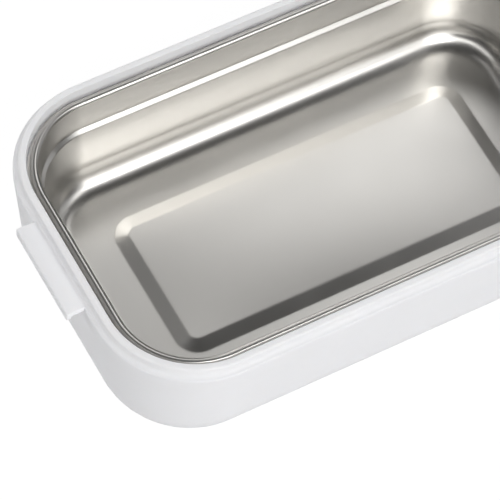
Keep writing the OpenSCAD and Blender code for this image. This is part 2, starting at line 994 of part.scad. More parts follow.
module vent_plug() {
  cap_h = vent_cap_h - vent_cap_edge;
  color([0.45, 0.46, 0.48])
    opened()
      translate([vent_x, 0, 0]) {
        translate([0, 0, lid_top]) cylinder(r = vent_cap_r, h = cap_h);
        translate([0, 0, lid_top + cap_h])
          cylinder(r1 = vent_cap_r, r2 = vent_cap_r - vent_cap_edge, h = vent_cap_edge);
        translate([0, 0, inner_plate_z]) cylinder(r = vent_stem_r, h = lid_top - inner_plate_z + lap);
      }
}

// Latch, drawn locked on the closed lid and then swung out

module latch() {
  outside = latch_plate_x - latch_t;
  shelf = latch_z + latch_shelf;
  foot = nose_top - nose_h;
  color(white)
    opened()
      translate([latch_x, 0, latch_z])
        rotate([0, latch_swing, 0])
          translate([-latch_x, 0, -latch_z])
            difference() {
              union() {
                rod_y(latch_x, latch_z, latch_barrel_r, latch_half);
                box([outside, -latch_half, latch_z - latch_barrel_r], [latch_x, latch_half, shelf]);
                box([outside, -latch_half, foot], [latch_plate_x, latch_half, shelf]);
                box([outside, -latch_half, foot], [latch_plate_x + nose_reach, latch_half, nose_top]);
              }
              rod_y(latch_x, latch_z, latch_pin_r + run_gap, latch_half + over);
            }
}

module latch_pin() {
  color([0.7, 0.7, 0.72])
    opened() rod_y(latch_x, latch_z, latch_pin_r, latch_half + latch_gap + latch_ear_w);
}

outer_shell();
inner_frame();
base_cover();
feet();
base_screws();
heating_plate();
ptc_heaters();
heater_clamps();
clamp_screws();
thermostat();
thermal_fuse();
insulation_sheet();
wire_live();
wire_switched();
wire_neutral();
inlet_socket();
inlet_pins();
inlet_flap();
flap_pin();
switch_body();
switch_rocker();
lamp_lens();
indicator_lamp();
hinge_pin();
food_tray();
lid_shell();
lid_inner_plate();
lid_seal();
vent_plug();
latch();
latch_pin();
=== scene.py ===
"""Looks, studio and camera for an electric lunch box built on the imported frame.

The photographed pieces are modelled here with rounded edges and fillets: the plastic shell with its catch
tab, the inner frame with its collar, and the pressed steel tray. So are the lid, its seal, its vent, the
latch and the fittings of the end panel. The parts inside the base are CAD solids in new finishes.
"""
import logging
import math
from dataclasses import dataclass, field
from enum import Enum
from typing import Any, Callable, Optional, Sequence

import bmesh
import bpy
from mathutils import Matrix, Vector


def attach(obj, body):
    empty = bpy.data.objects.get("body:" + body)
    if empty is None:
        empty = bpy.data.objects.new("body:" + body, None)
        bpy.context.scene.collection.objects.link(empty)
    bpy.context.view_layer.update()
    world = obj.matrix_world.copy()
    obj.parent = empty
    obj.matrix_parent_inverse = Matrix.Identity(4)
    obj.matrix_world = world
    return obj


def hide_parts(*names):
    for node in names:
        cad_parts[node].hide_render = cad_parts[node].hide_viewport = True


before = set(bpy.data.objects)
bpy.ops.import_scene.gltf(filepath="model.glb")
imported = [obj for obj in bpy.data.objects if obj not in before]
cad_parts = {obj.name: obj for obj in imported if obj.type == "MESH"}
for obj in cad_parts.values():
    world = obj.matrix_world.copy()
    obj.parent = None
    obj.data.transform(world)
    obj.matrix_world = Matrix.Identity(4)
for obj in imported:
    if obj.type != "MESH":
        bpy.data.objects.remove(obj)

LOG = logging.getLogger("lunch_box")
MM = 0.001
MERGE_MM = 0.002
BORDER_MM = 1.0
EAR_EDGE = 0.3
CORNER_STEPS = 32
SLAB_STEPS = 24
ROUND_STEPS = 8
ROD_SIDES = 48
SMOOTH_DEG = 30.0
INNER_REACH = (1.0, 0.9, 0.8)
INNER_MM = 2.0

Section = list[tuple[float, float]]


# Shared sizes of the body, in millimetres, as the construction has them


@dataclass(frozen=True)
class BodySizes:
    """Sizes that several pieces share, in millimetres."""

    open_half_l: float = 102.0
    open_half_w: float = 60.0
    open_r: float = 32.2
    end_bay: float = 24.0
    foot_h: float = 2.0
    collar_top: float = 59.0
    shoulder_top: float = 54.9
    shoulder_out: float = 4.7
    wall: float = 2.2
    wall_draft: float = 3.0
    bottom_r: float = 20.0
    rim_z: float = 53.6
    steel: float = 0.6
    floor_z: float = 11.8
    hinge_x: float = 112.6
    hinge_z: float = 60.0
    knuckle_r: float = 4.3
    knuckle_half: float = 16.0
    open_angle: float = 105.0

    @property
    def corner_x(self) -> float:
        """Distance of the corner centres from the middle, along the length."""
        return self.open_half_l - self.open_r

    @property
    def corner_y(self) -> float:
        """Distance of the corner centres from the middle, across the width."""
        return self.open_half_w - self.open_r

    @property
    def bay_x(self) -> float:
        """Place of the corner centres at the hinge end of the shell."""
        return self.corner_x + self.end_bay

    @property
    def panel_x(self) -> float:
        """Place of the flat end face that carries the inlet and the switch."""
        return self.bay_x + self.open_r + self.shoulder_out


BODY = BodySizes()


@dataclass(frozen=True)
class Plan:
    """A rounded rectangle seen from above, given by its corner centres.

    Args:
        x0: Left corner centres.
        x1: Right corner centres.
        y: Half the distance between the front and back corner centres.
    """

    x0: float
    x1: float
    y: float


OPENING = Plan(-BODY.corner_x, BODY.corner_x, BODY.corner_y)


# Modelling by hand: sections, sweeps and fills


def object_mode() -> None:
    """Leaves edit mode if an object is in it."""
    if bpy.context.object is not None and bpy.context.object.mode != "OBJECT":
        bpy.ops.object.mode_set(mode="OBJECT")


def select_nothing() -> None:
    """Leaves edit mode and deselects every object."""
    object_mode()
    bpy.ops.object.select_all(action="DESELECT")


def select_only(piece: bpy.types.Object) -> None:
    """Makes one object the only selected and the active one."""
    select_nothing()
    piece.select_set(True)
    bpy.context.view_layer.objects.active = piece


def rounded(corners: Sequence[tuple[float, ...]], steps: int = 6) -> Section:
    """Rounds the corners of a section.

    Args:
        corners: Points as (out, z) or (out, z, radius).
        steps: Number of edges in each rounded corner.

    Returns:
        The points of the section with each rounded corner drawn out.
    """
    made: Section = []
    for i, corner in enumerate(corners):
        here = Vector(corner[:2])
        radius = corner[2] if len(corner) > 2 else 0.0
        if radius == 0.0 or i in (0, len(corners) - 1):
            made.append((here.x, here.y))
            continue
        back = (Vector(corners[i - 1][:2]) - here).normalized()
        ahead = (Vector(corners[i + 1][:2]) - here).normalized()
        half = back.angle(ahead) / 2
        centre = here + (back + ahead).normalized() * (radius / math.sin(half))
        start = here + back * (radius / math.tan(half)) - centre
        end = here + ahead * (radius / math.tan(half)) - centre
        turn = math.atan2(start.x * end.y - start.y * end.x, start.dot(end))
        for k in range(steps + 1):
            point = centre + Matrix.Rotation(turn * k / steps, 2) @ start
            made.append((point.x, point.y))
    return made


def round_arc(out: float, z: float, radius: float, start: float, end: float, steps: int = 10) -> Section:
    """Points of an arc in a section, with its angles in degrees."""
    angles = [math.radians(start + (end - start) * k / steps) for k in range(steps + 1)]
    return [(out + radius * math.cos(a), z + radius * math.sin(a)) for a in angles]


def draw_line(name: str, points: Sequence[Vector]) -> bpy.types.Object:
    """Draws a line from point to point, starting from a single vertex.

    Args:
        name: Name of the new object.
        points: Places of the line's points, in metres.

    Returns:
        The new object, left in edit mode.
    """
    select_nothing()
    bpy.ops.mesh.primitive_plane_add(size=MM, location=points[0])
    piece = bpy.context.object
    piece.name = name
    bpy.ops.object.mode_set(mode="EDIT")
    bpy.ops.mesh.select_mode(type="VERT")
    bpy.ops.mesh.select_all(action="SELECT")
    bpy.ops.mesh.merge(type="CENTER")
    for here, there in zip(points, points[1:]):
        bpy.ops.mesh.extrude_vertices_move(TRANSFORM_OT_translate={"value": there - here})
    return piece


def carry_round(plan: Plan, steps: int) -> None:
    """Carries the drawn section round the rounded rectangle and joins its two ends.

    Args:
        plan: Rounded rectangle to follow.
        steps: Number of edges in each corner.
    """
    bpy.ops.mesh.select_all(action="SELECT")
    bpy.ops.mesh.select_mode(type="EDGE")
    half = (plan.x1 - plan.x0) / 2
    runs = [(half, 0, 0), (0, 2 * plan.y, 0), (-2 * half, 0, 0), (0, -2 * plan.y, 0)]
    centres = [(plan.x1, -plan.y), (plan.x1, plan.y), (plan.x0, plan.y), (plan.x0, -plan.y)]
    for run, centre in zip(runs, centres):
        bpy.ops.mesh.extrude_region_move(TRANSFORM_OT_translate={"value": Vector(run) * MM})
        bpy.ops.mesh.spin(
            steps=steps, angle=math.radians(-90), center=(centre[0] * MM, centre[1] * MM, 0), axis=(0, 0, 1)
        )
    bpy.ops.mesh.extrude_region_move(TRANSFORM_OT_translate={"value": (half * MM, 0, 0)})
    merge_points()


def merge_points() -> None:
    """Merges points of the edited mesh that lie closer than MERGE_MM."""
    bpy.ops.mesh.select_all(action="SELECT")
    bpy.ops.mesh.remove_doubles(threshold=MERGE_MM * MM)


def sweep(
    name: str, section: Section, plan: Plan = OPENING, closed: bool = False, steps: int = CORNER_STEPS,
) -> bpy.types.Object:
    """Models a ring-shaped piece by carrying a section round a rounded rectangle.

    Args:
        name: Name of the piece.
        section: Points as distance from the corner centre and height.
        plan: Rounded rectangle to follow.
        closed: Whether the section's last point joins its first.
        steps: Number of edges in each corner.

    Returns:
        The piece, in object mode, with its place in its mesh.
    """
    middle = (plan.x0 + plan.x1) / 2
    piece = draw_line(name, [Vector((middle, -plan.y - out, z)) * MM for out, z in section])
    if closed:
        bpy.ops.mesh.select_all(action="DESELECT")
        mesh = bmesh.from_edit_mesh(piece.data)
        for vert in mesh.verts:
            vert.select = len(vert.link_edges) < 2
        bmesh.update_edit_mesh(piece.data)
        bpy.ops.mesh.edge_face_add()
    carry_round(plan, steps)
    settle(piece)
    return piece


def settle(piece: bpy.types.Object) -> None:
    """Leaves edit mode and moves the object's place, turn and size into its mesh."""
    select_only(piece)
    bpy.ops.object.transform_apply(location=True, rotation=True, scale=True)


def join(name: str, pieces: Sequence[bpy.types.Object]) -> bpy.types.Object:
    """Joins objects into the first of them and names it."""
    select_nothing()
    for piece in pieces:
        piece.select_set(True)
    bpy.context.view_layer.objects.active = pieces[0]
    bpy.ops.object.join()
    pieces[0].name = name
    return pieces[0]


class Part(Enum):
    """Parts of a mesh that a test can select."""

    EDGE = "edges"
    FACE = "faces"


def select_where(piece: bpy.types.Object, part: Part, wanted: Callable[[Any], bool]) -> None:
    """Selects the edges or faces of the edited mesh for which a test holds, and no others.

    Args:
        piece: Object in edit mode.
        part: Whether edges or faces are tested.
        wanted: Test of an edge or a face.
    """
    bpy.ops.mesh.select_all(action="DESELECT")
    bpy.ops.mesh.select_mode(type=part.name)
    mesh = bmesh.from_edit_mesh(piece.data)
    for item in getattr(mesh, part.value):
        if wanted(item):
            item.select = True
    mesh.select_flush_mode()
    bmesh.update_edit_mesh(piece.data)


def open_edge_at(z: float) -> Callable[[bmesh.types.BMEdge], bool]:
    """Returns a test for open edges that lie at a height in millimetres."""
    return lambda edge: edge.is_boundary and all(abs(v.co.z - z * MM) < 0.02 * MM for v in edge.verts)


def edit(piece: bpy.types.Object) -> None:
    """Opens one object in edit mode."""
    select_only(piece)
    bpy.ops.object.mode_set(mode="EDIT")


def join_loops_at(piece: bpy.types.Object, z: float) -> None:
    """Fills the level ring between the two open loops that lie at a height in millimetres."""
    edit(piece)
    select_where(piece, Part.EDGE, open_edge_at(z))
    bpy.ops.mesh.fill(use_beauty=True)
    object_mode()


def fill_at(piece: bpy.types.Object, z: float) -> None:
    """Fills the open loop at a height, with a narrow border that keeps the flat face's shading flat."""
    edit(piece)
    select_where(piece, Part.EDGE, open_edge_at(z))
    bpy.ops.mesh.edge_face_add()
    bpy.ops.mesh.inset(thickness=BORDER_MM * MM)
    object_mode()


def slab(name: str, plan: Plan, out: float, low: float, high: float) -> bpy.types.Object:
    """Models a flat slab on a rounded rectangle, between two heights in millimetres."""
    piece = sweep(name, [(out, high), (out, low)], plan, steps=SLAB_STEPS)
    fill_at(piece, high)
    fill_at(piece, low)
    turn_outward(piece)
    return piece


def turn_outward(piece: bpy.types.Object) -> None:
    """Merges double points and turns the faces of a closed piece outwards."""
    edit(piece)
    merge_points()
    bpy.ops.mesh.normals_make_consistent(inside=False)
    object_mode()


def turn_up(piece: bpy.types.Object) -> None:
    """Makes the faces of an open sheet agree, with its lowest level face looking up."""
    turn_outward(piece)
    level = [face for face in piece.data.polygons if abs(face.normal.z) > 0.99]
    if min(level, key=lambda face: face.center.z).normal.z < 0:
        edit(piece)
        bpy.ops.mesh.select_all(action="SELECT")
        bpy.ops.mesh.flip_normals()
        object_mode()


def smooth(piece: bpy.types.Object) -> None:
    """Shades a piece smooth, with edges sharper than SMOOTH_DEG kept sharp."""
    select_only(piece)
    bpy.ops.object.shade_smooth_by_angle(angle=math.radians(SMOOTH_DEG))


def modify(piece: bpy.types.Object, kind: str, **settings: Any) -> None:
    """Adds a modifier with its settings and applies it.

    Args:
        piece: Object to change.
        kind: Modifier type.
        **settings: Values for the modifier's properties.
    """
    select_only(piece)
    modifier = piece.modifiers.new(kind.lower(), kind)
    for key, value in settings.items():
        setattr(modifier, key, value)
    bpy.ops.object.modifier_apply(modifier=modifier.name)


def soften(piece: bpy.types.Object, width: float, segments: int = 3, angle: float = 40.0) -> None:
    """Rounds the sharp edges of a piece with a bevel, its width in millimetres."""
    modify(
        piece, "BEVEL", width=width * MM, segments=segments, limit_method="ANGLE",
        angle_limit=math.radians(angle), miter_outer="MITER_ARC", use_clamp_overlap=True,
    )


def block(name: str, low: Sequence[float], high: Sequence[float], edge: float = 0.0) -> bpy.types.Object:
    """Models a block between two corners in millimetres, with its edges rounded."""
    select_nothing()
    a, b = Vector(low) * MM, Vector(high) * MM
    bpy.ops.mesh.primitive_cube_add(size=1, location=(a + b) / 2)
    piece = bpy.context.object
    piece.name = name
    piece.scale = b - a
    settle(piece)
    if edge:
        soften(piece, edge)
    return piece


class Axis(Enum):
    """Direction of a turned piece."""

    X = (0, math.pi / 2, 0)
    Y = (math.pi / 2, 0, 0)
    Z = (0, 0, 0)


def rod(
    name: str, centre: Sequence[float], radius: float, length: float, axis: Axis, edge: float = 0.0,
) -> bpy.types.Object:
    """Models a turned rod, centred on a point in millimetres, with its ends rounded off."""
    select_nothing()
    bpy.ops.mesh.primitive_cylinder_add(
        vertices=ROD_SIDES, radius=radius * MM, depth=length * MM, location=Vector(centre) * MM,
        rotation=axis.value,
    )
    piece = bpy.context.object
    piece.name = name
    settle(piece)
    if edge:
        soften(piece, edge)
    return piece


def cut(piece: bpy.types.Object, cutter: bpy.types.Object) -> None:
    """Cuts one closed piece out of another and removes it."""
    modify(piece, "BOOLEAN", operation="DIFFERENCE", object=cutter, solver="EXACT")
    bpy.data.objects.remove(cutter)


def round_along(piece: bpy.types.Object, axis: int, radius: float) -> bpy.types.Object:
    """Rounds the edges of a block that run along one axis, with a radius in millimetres."""
    edit(piece)
    select_where(
        piece, Part.EDGE, lambda edge: abs((edge.verts[0].co - edge.verts[1].co).normalized()[axis]) > 0.99
    )
    bpy.ops.mesh.bevel(offset=radius * MM, segments=ROUND_STEPS)
    object_mode()
    return piece


def hollow(piece: bpy.types.Object, side: int, rim: float, depth: float) -> None:
    """Sinks the level end of a rod and leaves a rim round it.

    Args:
        piece: The rod, standing upright.
        side: 1 for its upper end or -1 for its lower end.
        rim: Width of the rim in millimetres.
        depth: Depth of the hollow in millimetres.
    """
    edit(piece)
    select_where(piece, Part.FACE, lambda face: side * face.normal.z > 0.9)
    bpy.ops.mesh.inset(thickness=rim * MM)
    bpy.ops.mesh.extrude_region_move(TRANSFORM_OT_translate={"value": (0, 0, -side * depth * MM)})
    object_mode()


def ears(
    pin: tuple[float, float, float], near: float, width: float, radius: float,
    low: tuple[float, float], high: tuple[float, float],
) -> list[bpy.types.Object]:
    """Models two ears that hold a pin along Y, each a block with a round eye.

    Args:
        pin: Middle of the pin.
        near: Distance from there to the ears' inner faces.
        width: Width of each ear.
        radius: Radius of each eye.
        low: Lowest x and z of the blocks.
        high: Highest x and z of the blocks.

    Returns:
        The two blocks and the two eyes.
    """
    x, y, z = pin
    made = []
    for side in (-1, 1):
        middle = y + side * (near + width / 2)
        start, end = middle - width / 2, middle + width / 2
        made.append(block("ear", (low[0], start, low[1]), (high[0], end, high[1]), EAR_EDGE))
        made.append(rod("eye", (x, middle, z), radius, width, Axis.Y, EAR_EDGE))
    return made


def prism(name: str, outline: Section, start: float, depth: float) -> bpy.types.Object:
    """Models a bar along Y from its outline in x and z.

    Args:
        name: Name of the piece.
        outline: Corners of the outline.
        start: Where the bar begins along Y.
        depth: Its length along Y.

    Returns:
        The piece, closed, with its faces turned outwards.
    """
    piece = draw_line(name, [Vector((x, start, z)) * MM for x, z in outline])
    bpy.ops.mesh.select_all(action="SELECT")
    bpy.ops.mesh.edge_face_add()
    bpy.ops.mesh.extrude_region_move(TRANSFORM_OT_translate={"value": (0, depth * MM, 0)})
    bpy.ops.mesh.select_all(action="SELECT")
    bpy.ops.mesh.normals_make_consistent(inside=False)
    settle(piece)
    return piece


def turned(piece: bpy.types.Object, x: float, z: float, angle: float) -> bpy.types.Object:
    """Turns a piece about a line along Y through x and z, by an angle in degrees."""
    pin = Vector((x, 0, z)) * MM
    turn = Matrix.Rotation(math.radians(angle), 4, "Y")
    piece.matrix_world = Matrix.Translation(pin) @ turn @ Matrix.Translation(-pin)
    settle(piece)
    return piece


def opened(piece: bpy.types.Object) -> bpy.types.Object:
    """Turns a piece modelled on the closed lid about the hinge, to the lid on its stop."""
    return turned(piece, BODY.hinge_x, BODY.hinge_z, BODY.open_angle)


# Finishes


def linear(code: str) -> tuple[float, float, float, float]:
    """Turns an sRGB hex colour into a linear RGBA colour."""
    parts = [int(code[i:i + 2], 16) / 255 for i in (1, 3, 5)]
    low = [p / 12.92 if p <= 0.04045 else ((p + 0.055) / 1.055) ** 2.4 for p in parts]
    return (low[0], low[1], low[2], 1.0)


def add_node(
    tree: bpy.types.NodeTree, kind: str, settings: Optional[dict[str, Any]] = None,
    inputs: Optional[dict[str, Any]] = None, links: Optional[dict[str, bpy.types.NodeSocket]] = None,
) -> bpy.types.Node:
    """Adds a node with its settings, input values and links.

    Args:
        tree: Node tree to add to.
        kind: Node type.
        settings: Values for the node's own properties.
        inputs: Values for its inputs, by name or index.
        links: Sockets to link to its inputs, by name or index.

    Returns:
        The new node.
    """
    node = tree.nodes.new(kind)
    for key, value in (settings or {}).items():
        setattr(node, key, value)
    for key, value in (inputs or {}).items():
        node.inputs[key].default_value = value
    for key, socket in (links or {}).items():
        tree.links.new(socket, node.inputs[key])
    return node


class Grain(Enum):
    """How the fine relief of a finish runs."""

    EVEN = (1.0, 1.0, 1.0)
    ALONG_X = (0.03, 1.0, 1.0)
    ALONG_Y = (1.0, 0.03, 1.0)


@dataclass(frozen=True)
class Finish:
    """A surface finish, built as a node material.

    Args:
        name: What the material is.
        colour: Main colour as sRGB hex.
        shade: Colour of its slightly darker places.
        roughness: Lowest and highest roughness.
        metallic: 1 for a metal.
        ior: Refractive index of what isn't a metal.
        grain: Direction of the fine relief.
        grain_mm: Size of the fine relief in millimetres.
        relief_mm: Height of the fine relief in millimetres, or 0 where it is too fine to draw.
        cloud_mm: Size of the slow changes in colour and roughness.
        coat: Strength of a clear coat.
        clear: Share of light that it lets through.
        inner: Strength of the light scattered inside.
    """

    name: str
    colour: str
    shade: str
    roughness: tuple[float, float] = (0.4, 0.5)
    metallic: float = 0.0
    ior: float = 1.5
    grain: Grain = Grain.EVEN
    grain_mm: float = 0.6
    relief_mm: float = 0.01
    cloud_mm: float = 25.0
    coat: float = 0.0
    clear: float = 0.0
    inner: float = 0.0

    def noise(
        self, tree: bpy.types.NodeTree, size: float, detail: float, rough: float, at: bpy.types.NodeSocket,
    ) -> bpy.types.NodeSocket:
        """Adds a noise with features of a size in millimetres and returns its value."""
        return add_node(
            tree, "ShaderNodeTexNoise",
            inputs={"Scale": 1 / (size * MM), "Detail": detail, "Roughness": rough}, links={"Vector": at},
        ).outputs["Fac"]

    def build(self) -> bpy.types.Material:
        """Builds the node material.

        Returns:
            The new material.
        """
        material = bpy.data.materials.new(self.name)
        material.use_nodes = True
        material.diffuse_color = linear(self.colour)
        tree = material.node_tree
        tree.nodes.clear()
        place = add_node(tree, "ShaderNodeTexCoord").outputs["Object"]
        fine_at = add_node(
            tree, "ShaderNodeMapping", inputs={"Scale": self.grain.value}, links={"Vector": place}
        ).outputs["Vector"]
        cloud = self.noise(tree, self.cloud_mm, 3.0, 0.55, place)
        fine = self.noise(tree, self.grain_mm, 4.0, 0.6, fine_at)
        spread = add_node(
            tree, "ShaderNodeMapRange", inputs={"From Min": 0.25, "From Max": 0.75}, links={"Value": cloud}
        ).outputs["Result"]
        mixed = add_node(
            tree, "ShaderNodeMix", {"data_type": "RGBA"}, {6: linear(self.shade), 7: linear(self.colour)},
            {0: spread},
        )
        smoothest, dullest = self.roughness
        dull = add_node(
            tree, "ShaderNodeMapRange",
            inputs={"From Min": 0.3, "From Max": 0.7, "To Min": smoothest, "To Max": dullest},
            links={"Value": fine if self.grain is not Grain.EVEN else cloud},
        ).outputs["Result"]
        shader = add_node(
            tree, "ShaderNodeBsdfPrincipled",
            inputs={"Metallic": self.metallic, "Coat Weight": self.coat, "Transmission Weight": self.clear},
            links={"Base Color": mixed.outputs[2], "Roughness": dull},
        )
        if self.relief_mm:
            bump = add_node(
                tree, "ShaderNodeBump", inputs={"Distance": self.relief_mm * MM}, links={"Height": fine}
            )
            tree.links.new(bump.outputs["Normal"], shader.inputs["Normal"])
        if not self.metallic:
            shader.inputs["IOR"].default_value = self.ior
        if self.inner:
            shader.inputs["Subsurface Weight"].default_value = self.inner
            shader.inputs["Subsurface Radius"].default_value = INNER_REACH
            shader.inputs["Subsurface Scale"].default_value = INNER_MM * MM
        add_node(tree, "ShaderNodeOutputMaterial", links={"Surface": shader.outputs["BSDF"]})
        return material


FINISHES: dict[str, Finish] = {
    # Polypropylene, moulded in a satin tool: nearly white, a soft broad gleam and a faint orange peel
    "shell_white": Finish(
        "Moulded satin polypropylene", "#F3F3F5", "#F0F0F2", (0.38, 0.46), ior=1.49, inner=0.1,
    ),
    # The same resin in a finer tool
    "frame_white": Finish(
        "Moulded fine polypropylene", "#F5F5F6", "#F2F2F4", (0.34, 0.42), ior=1.49, inner=0.1,
    ),
    # Stainless steel, pressed and finished satin: even, softly blurred reflections. Its roughness stays
    # above 0.274 all over, because lines like cracks show in a render where it crosses that value
    "tray_steel": Finish(
        "Pressed satin stainless steel", "#CFCDC9", "#CBC9C5", (0.28, 0.31), 1.0,
        relief_mm=0.0, cloud_mm=30.0,
    ),
    # Die-cast aluminium, faced: pale, with fine turning lines along its length
    "plate_aluminium": Finish(
        "Faced die-cast aluminium", "#D4D5D7", "#C8C9CC", (0.30, 0.42), 1.0,
        grain=Grain.ALONG_X, grain_mm=0.9,
    ),
    # Sintered ceramic heater stones: matt cream
    "heater_ceramic": Finish(
        "Sintered heater ceramic", "#DCD6C4", "#CFC8B3", (0.7, 0.85), grain_mm=0.7, relief_mm=0.03,
    ),
    # Cold-rolled spring steel: grey with lines from the roll
    "spring_steel": Finish(
        "Cold-rolled spring steel", "#A9A9AC", "#98989C", (0.3, 0.45), 1.0,
        grain=Grain.ALONG_Y, grain_mm=0.8,
    ),
    # Zinc-plated screws: bright grey with cloudy plating
    "screw_steel": Finish(
        "Zinc-plated steel", "#B4B6B8", "#9FA2A6", (0.28, 0.45), 1.0, grain_mm=0.8, cloud_mm=4.0,
    ),
    # Ground steel pins: smooth and bright
    "pin_steel": Finish(
        "Ground steel", "#C2C2C4", "#B2B2B5", (0.15, 0.25), 1.0, grain=Grain.ALONG_Y, grain_mm=0.6,
    ),
    # Black nylon with glass fibre: matt with a sparkling grain
    "black_plastic": Finish(
        "Moulded black nylon", "#1B1B1D", "#151517", (0.42, 0.55), ior=1.53, grain_mm=0.7, relief_mm=0.02,
    ),
    # Brass contact pins: warm yellow, drawn
    "pin_brass": Finish(
        "Drawn brass", "#C9A860", "#B8964F", (0.2, 0.32), 1.0, grain=Grain.ALONG_X, grain_mm=0.7,
    ),
    # Red polycarbonate rocker: glossy
    "rocker_red": Finish("Moulded red polycarbonate", "#B3231C", "#A51E18", (0.2, 0.28), ior=1.58, coat=0.3),
    # Amber acrylic lens
    "lens_amber": Finish("Moulded amber acrylic", "#D9772B", "#CE6D22", (0.08, 0.14), ior=1.49, clear=0.6),
    # Glass of the indicator lamp
    "lamp_glass": Finish("Drawn lamp glass", "#E9E2D4", "#E2DACA", (0.04, 0.08), ior=1.52, clear=0.9),
    # Milky silicone seal: soft and matt
    "seal_silicone": Finish(
        "Moulded milky silicone", "#DADCDF", "#D2D4D8", (0.5, 0.62), ior=1.41, inner=0.4,
    ),
    # Grey silicone plug
    "grey_silicone": Finish(
        "Moulded grey silicone", "#8A8C90", "#808287", (0.5, 0.65), ior=1.41, inner=0.15,
    ),
    # Dark thermoplastic rubber feet
    "foot_rubber": Finish(
        "Moulded thermoplastic rubber", "#3A3A3C", "#333335", (0.6, 0.75), grain_mm=0.9, relief_mm=0.03,
    ),
    # Pressed mica sheet: tan with glinting flakes
    "mica": Finish(
        "Pressed mica sheet", "#BFA878", "#A68F60", (0.35, 0.7), ior=1.58, grain_mm=2.2, cloud_mm=3.0,
    ),
    # PVC insulation of the three wires: slightly glossy
    "wire_brown": Finish(
        "Extruded brown insulation", "#6B3F26", "#613920", (0.3, 0.4), ior=1.53, cloud_mm=8.0,
    ),
    "wire_red": Finish(
        "Extruded red insulation", "#A32B24", "#982620", (0.3, 0.4), ior=1.53, cloud_mm=8.0,
    ),
    "wire_blue": Finish(
        "Extruded blue insulation", "#2F5FA5", "#2A5797", (0.3, 0.4), ior=1.53, cloud_mm=8.0,
    ),
    # Glazed ceramic body of the thermal fuse
    "fuse_white": Finish("Glazed fuse ceramic", "#E4E2DA", "#DBD8CE", (0.15, 0.25), ior=1.5, coat=0.5),
}

NODE_SLOTS: dict[str, str] = {
    "outer_shell": "shell_white",
    "inner_frame": "frame_white",
    "base_cover": "shell_white",
    "feet": "foot_rubber",
    "base_screws": "screw_steel",
    "heating_plate": "plate_aluminium",
    "ptc_heaters": "heater_ceramic",
    "heater_clamps": "spring_steel",
    "clamp_screws": "screw_steel",
    "thermostat": "black_plastic",
    "thermal_fuse": "fuse_white",
    "insulation_sheet": "mica",
    "wire_live": "wire_brown",
    "wire_switched": "wire_red",
    "wire_neutral": "wire_blue",
    "inlet_socket": "black_plastic",
    "inlet_pins": "pin_brass",
    "inlet_flap": "grey_silicone",
    "flap_pin": "pin_steel",
    "switch_body": "black_plastic",
    "switch_rocker": "rocker_red",
    "lamp_lens": "lens_amber",
    "indicator_lamp": "lamp_glass",
    "hinge_pin": "pin_steel",
    "food_tray": "tray_steel",
    "lid_shell": "shell_white",
    "lid_inner_plate": "frame_white",
    "lid_seal": "seal_silicone",
    "vent_plug": "grey_silicone",
    "latch": "shell_white",
    "latch_pin": "pin_steel",
}


class Paint:
    """Builds each finish once and puts it on pieces and CAD nodes."""

    def __init__(self) -> None:
        """Starts with no material built."""
        self.made: dict[str, bpy.types.Material] = {}

    def of(self, slot: str) -> bpy.types.Material:
        """Returns the material of a slot, built when it is first asked for."""
        if slot not in self.made:
            self.made[slot] = FINISHES[slot].build()
        return self.made[slot]

    def dress_nodes(self) -> None:
        """Puts the finishes on all the CAD nodes."""
        for node, slot in NODE_SLOTS.items():
            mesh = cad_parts[node].data
            mesh.materials.clear()
            mesh.materials.append(self.of(slot))

    def dress(self, piece: bpy.types.Object, slot: str, body: str, *nodes: str) -> None:
        """Shades and finishes a modelled piece and sets it on its body in place of CAD nodes.

        Args:
            piece: The modelled piece.
            slot: Material slot of the record.
            body: Body that it rides on.
            *nodes: CAD nodes that it stands for.
        """
        smooth(piece)
        piece.data.materials.clear()
        piece.data.materials.append(self.of(slot))
        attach(piece, body)
        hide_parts(*nodes)
        LOG.info("%s: %d faces on %s", piece.name, len(piece.data.polygons), body)


# The photographed pieces


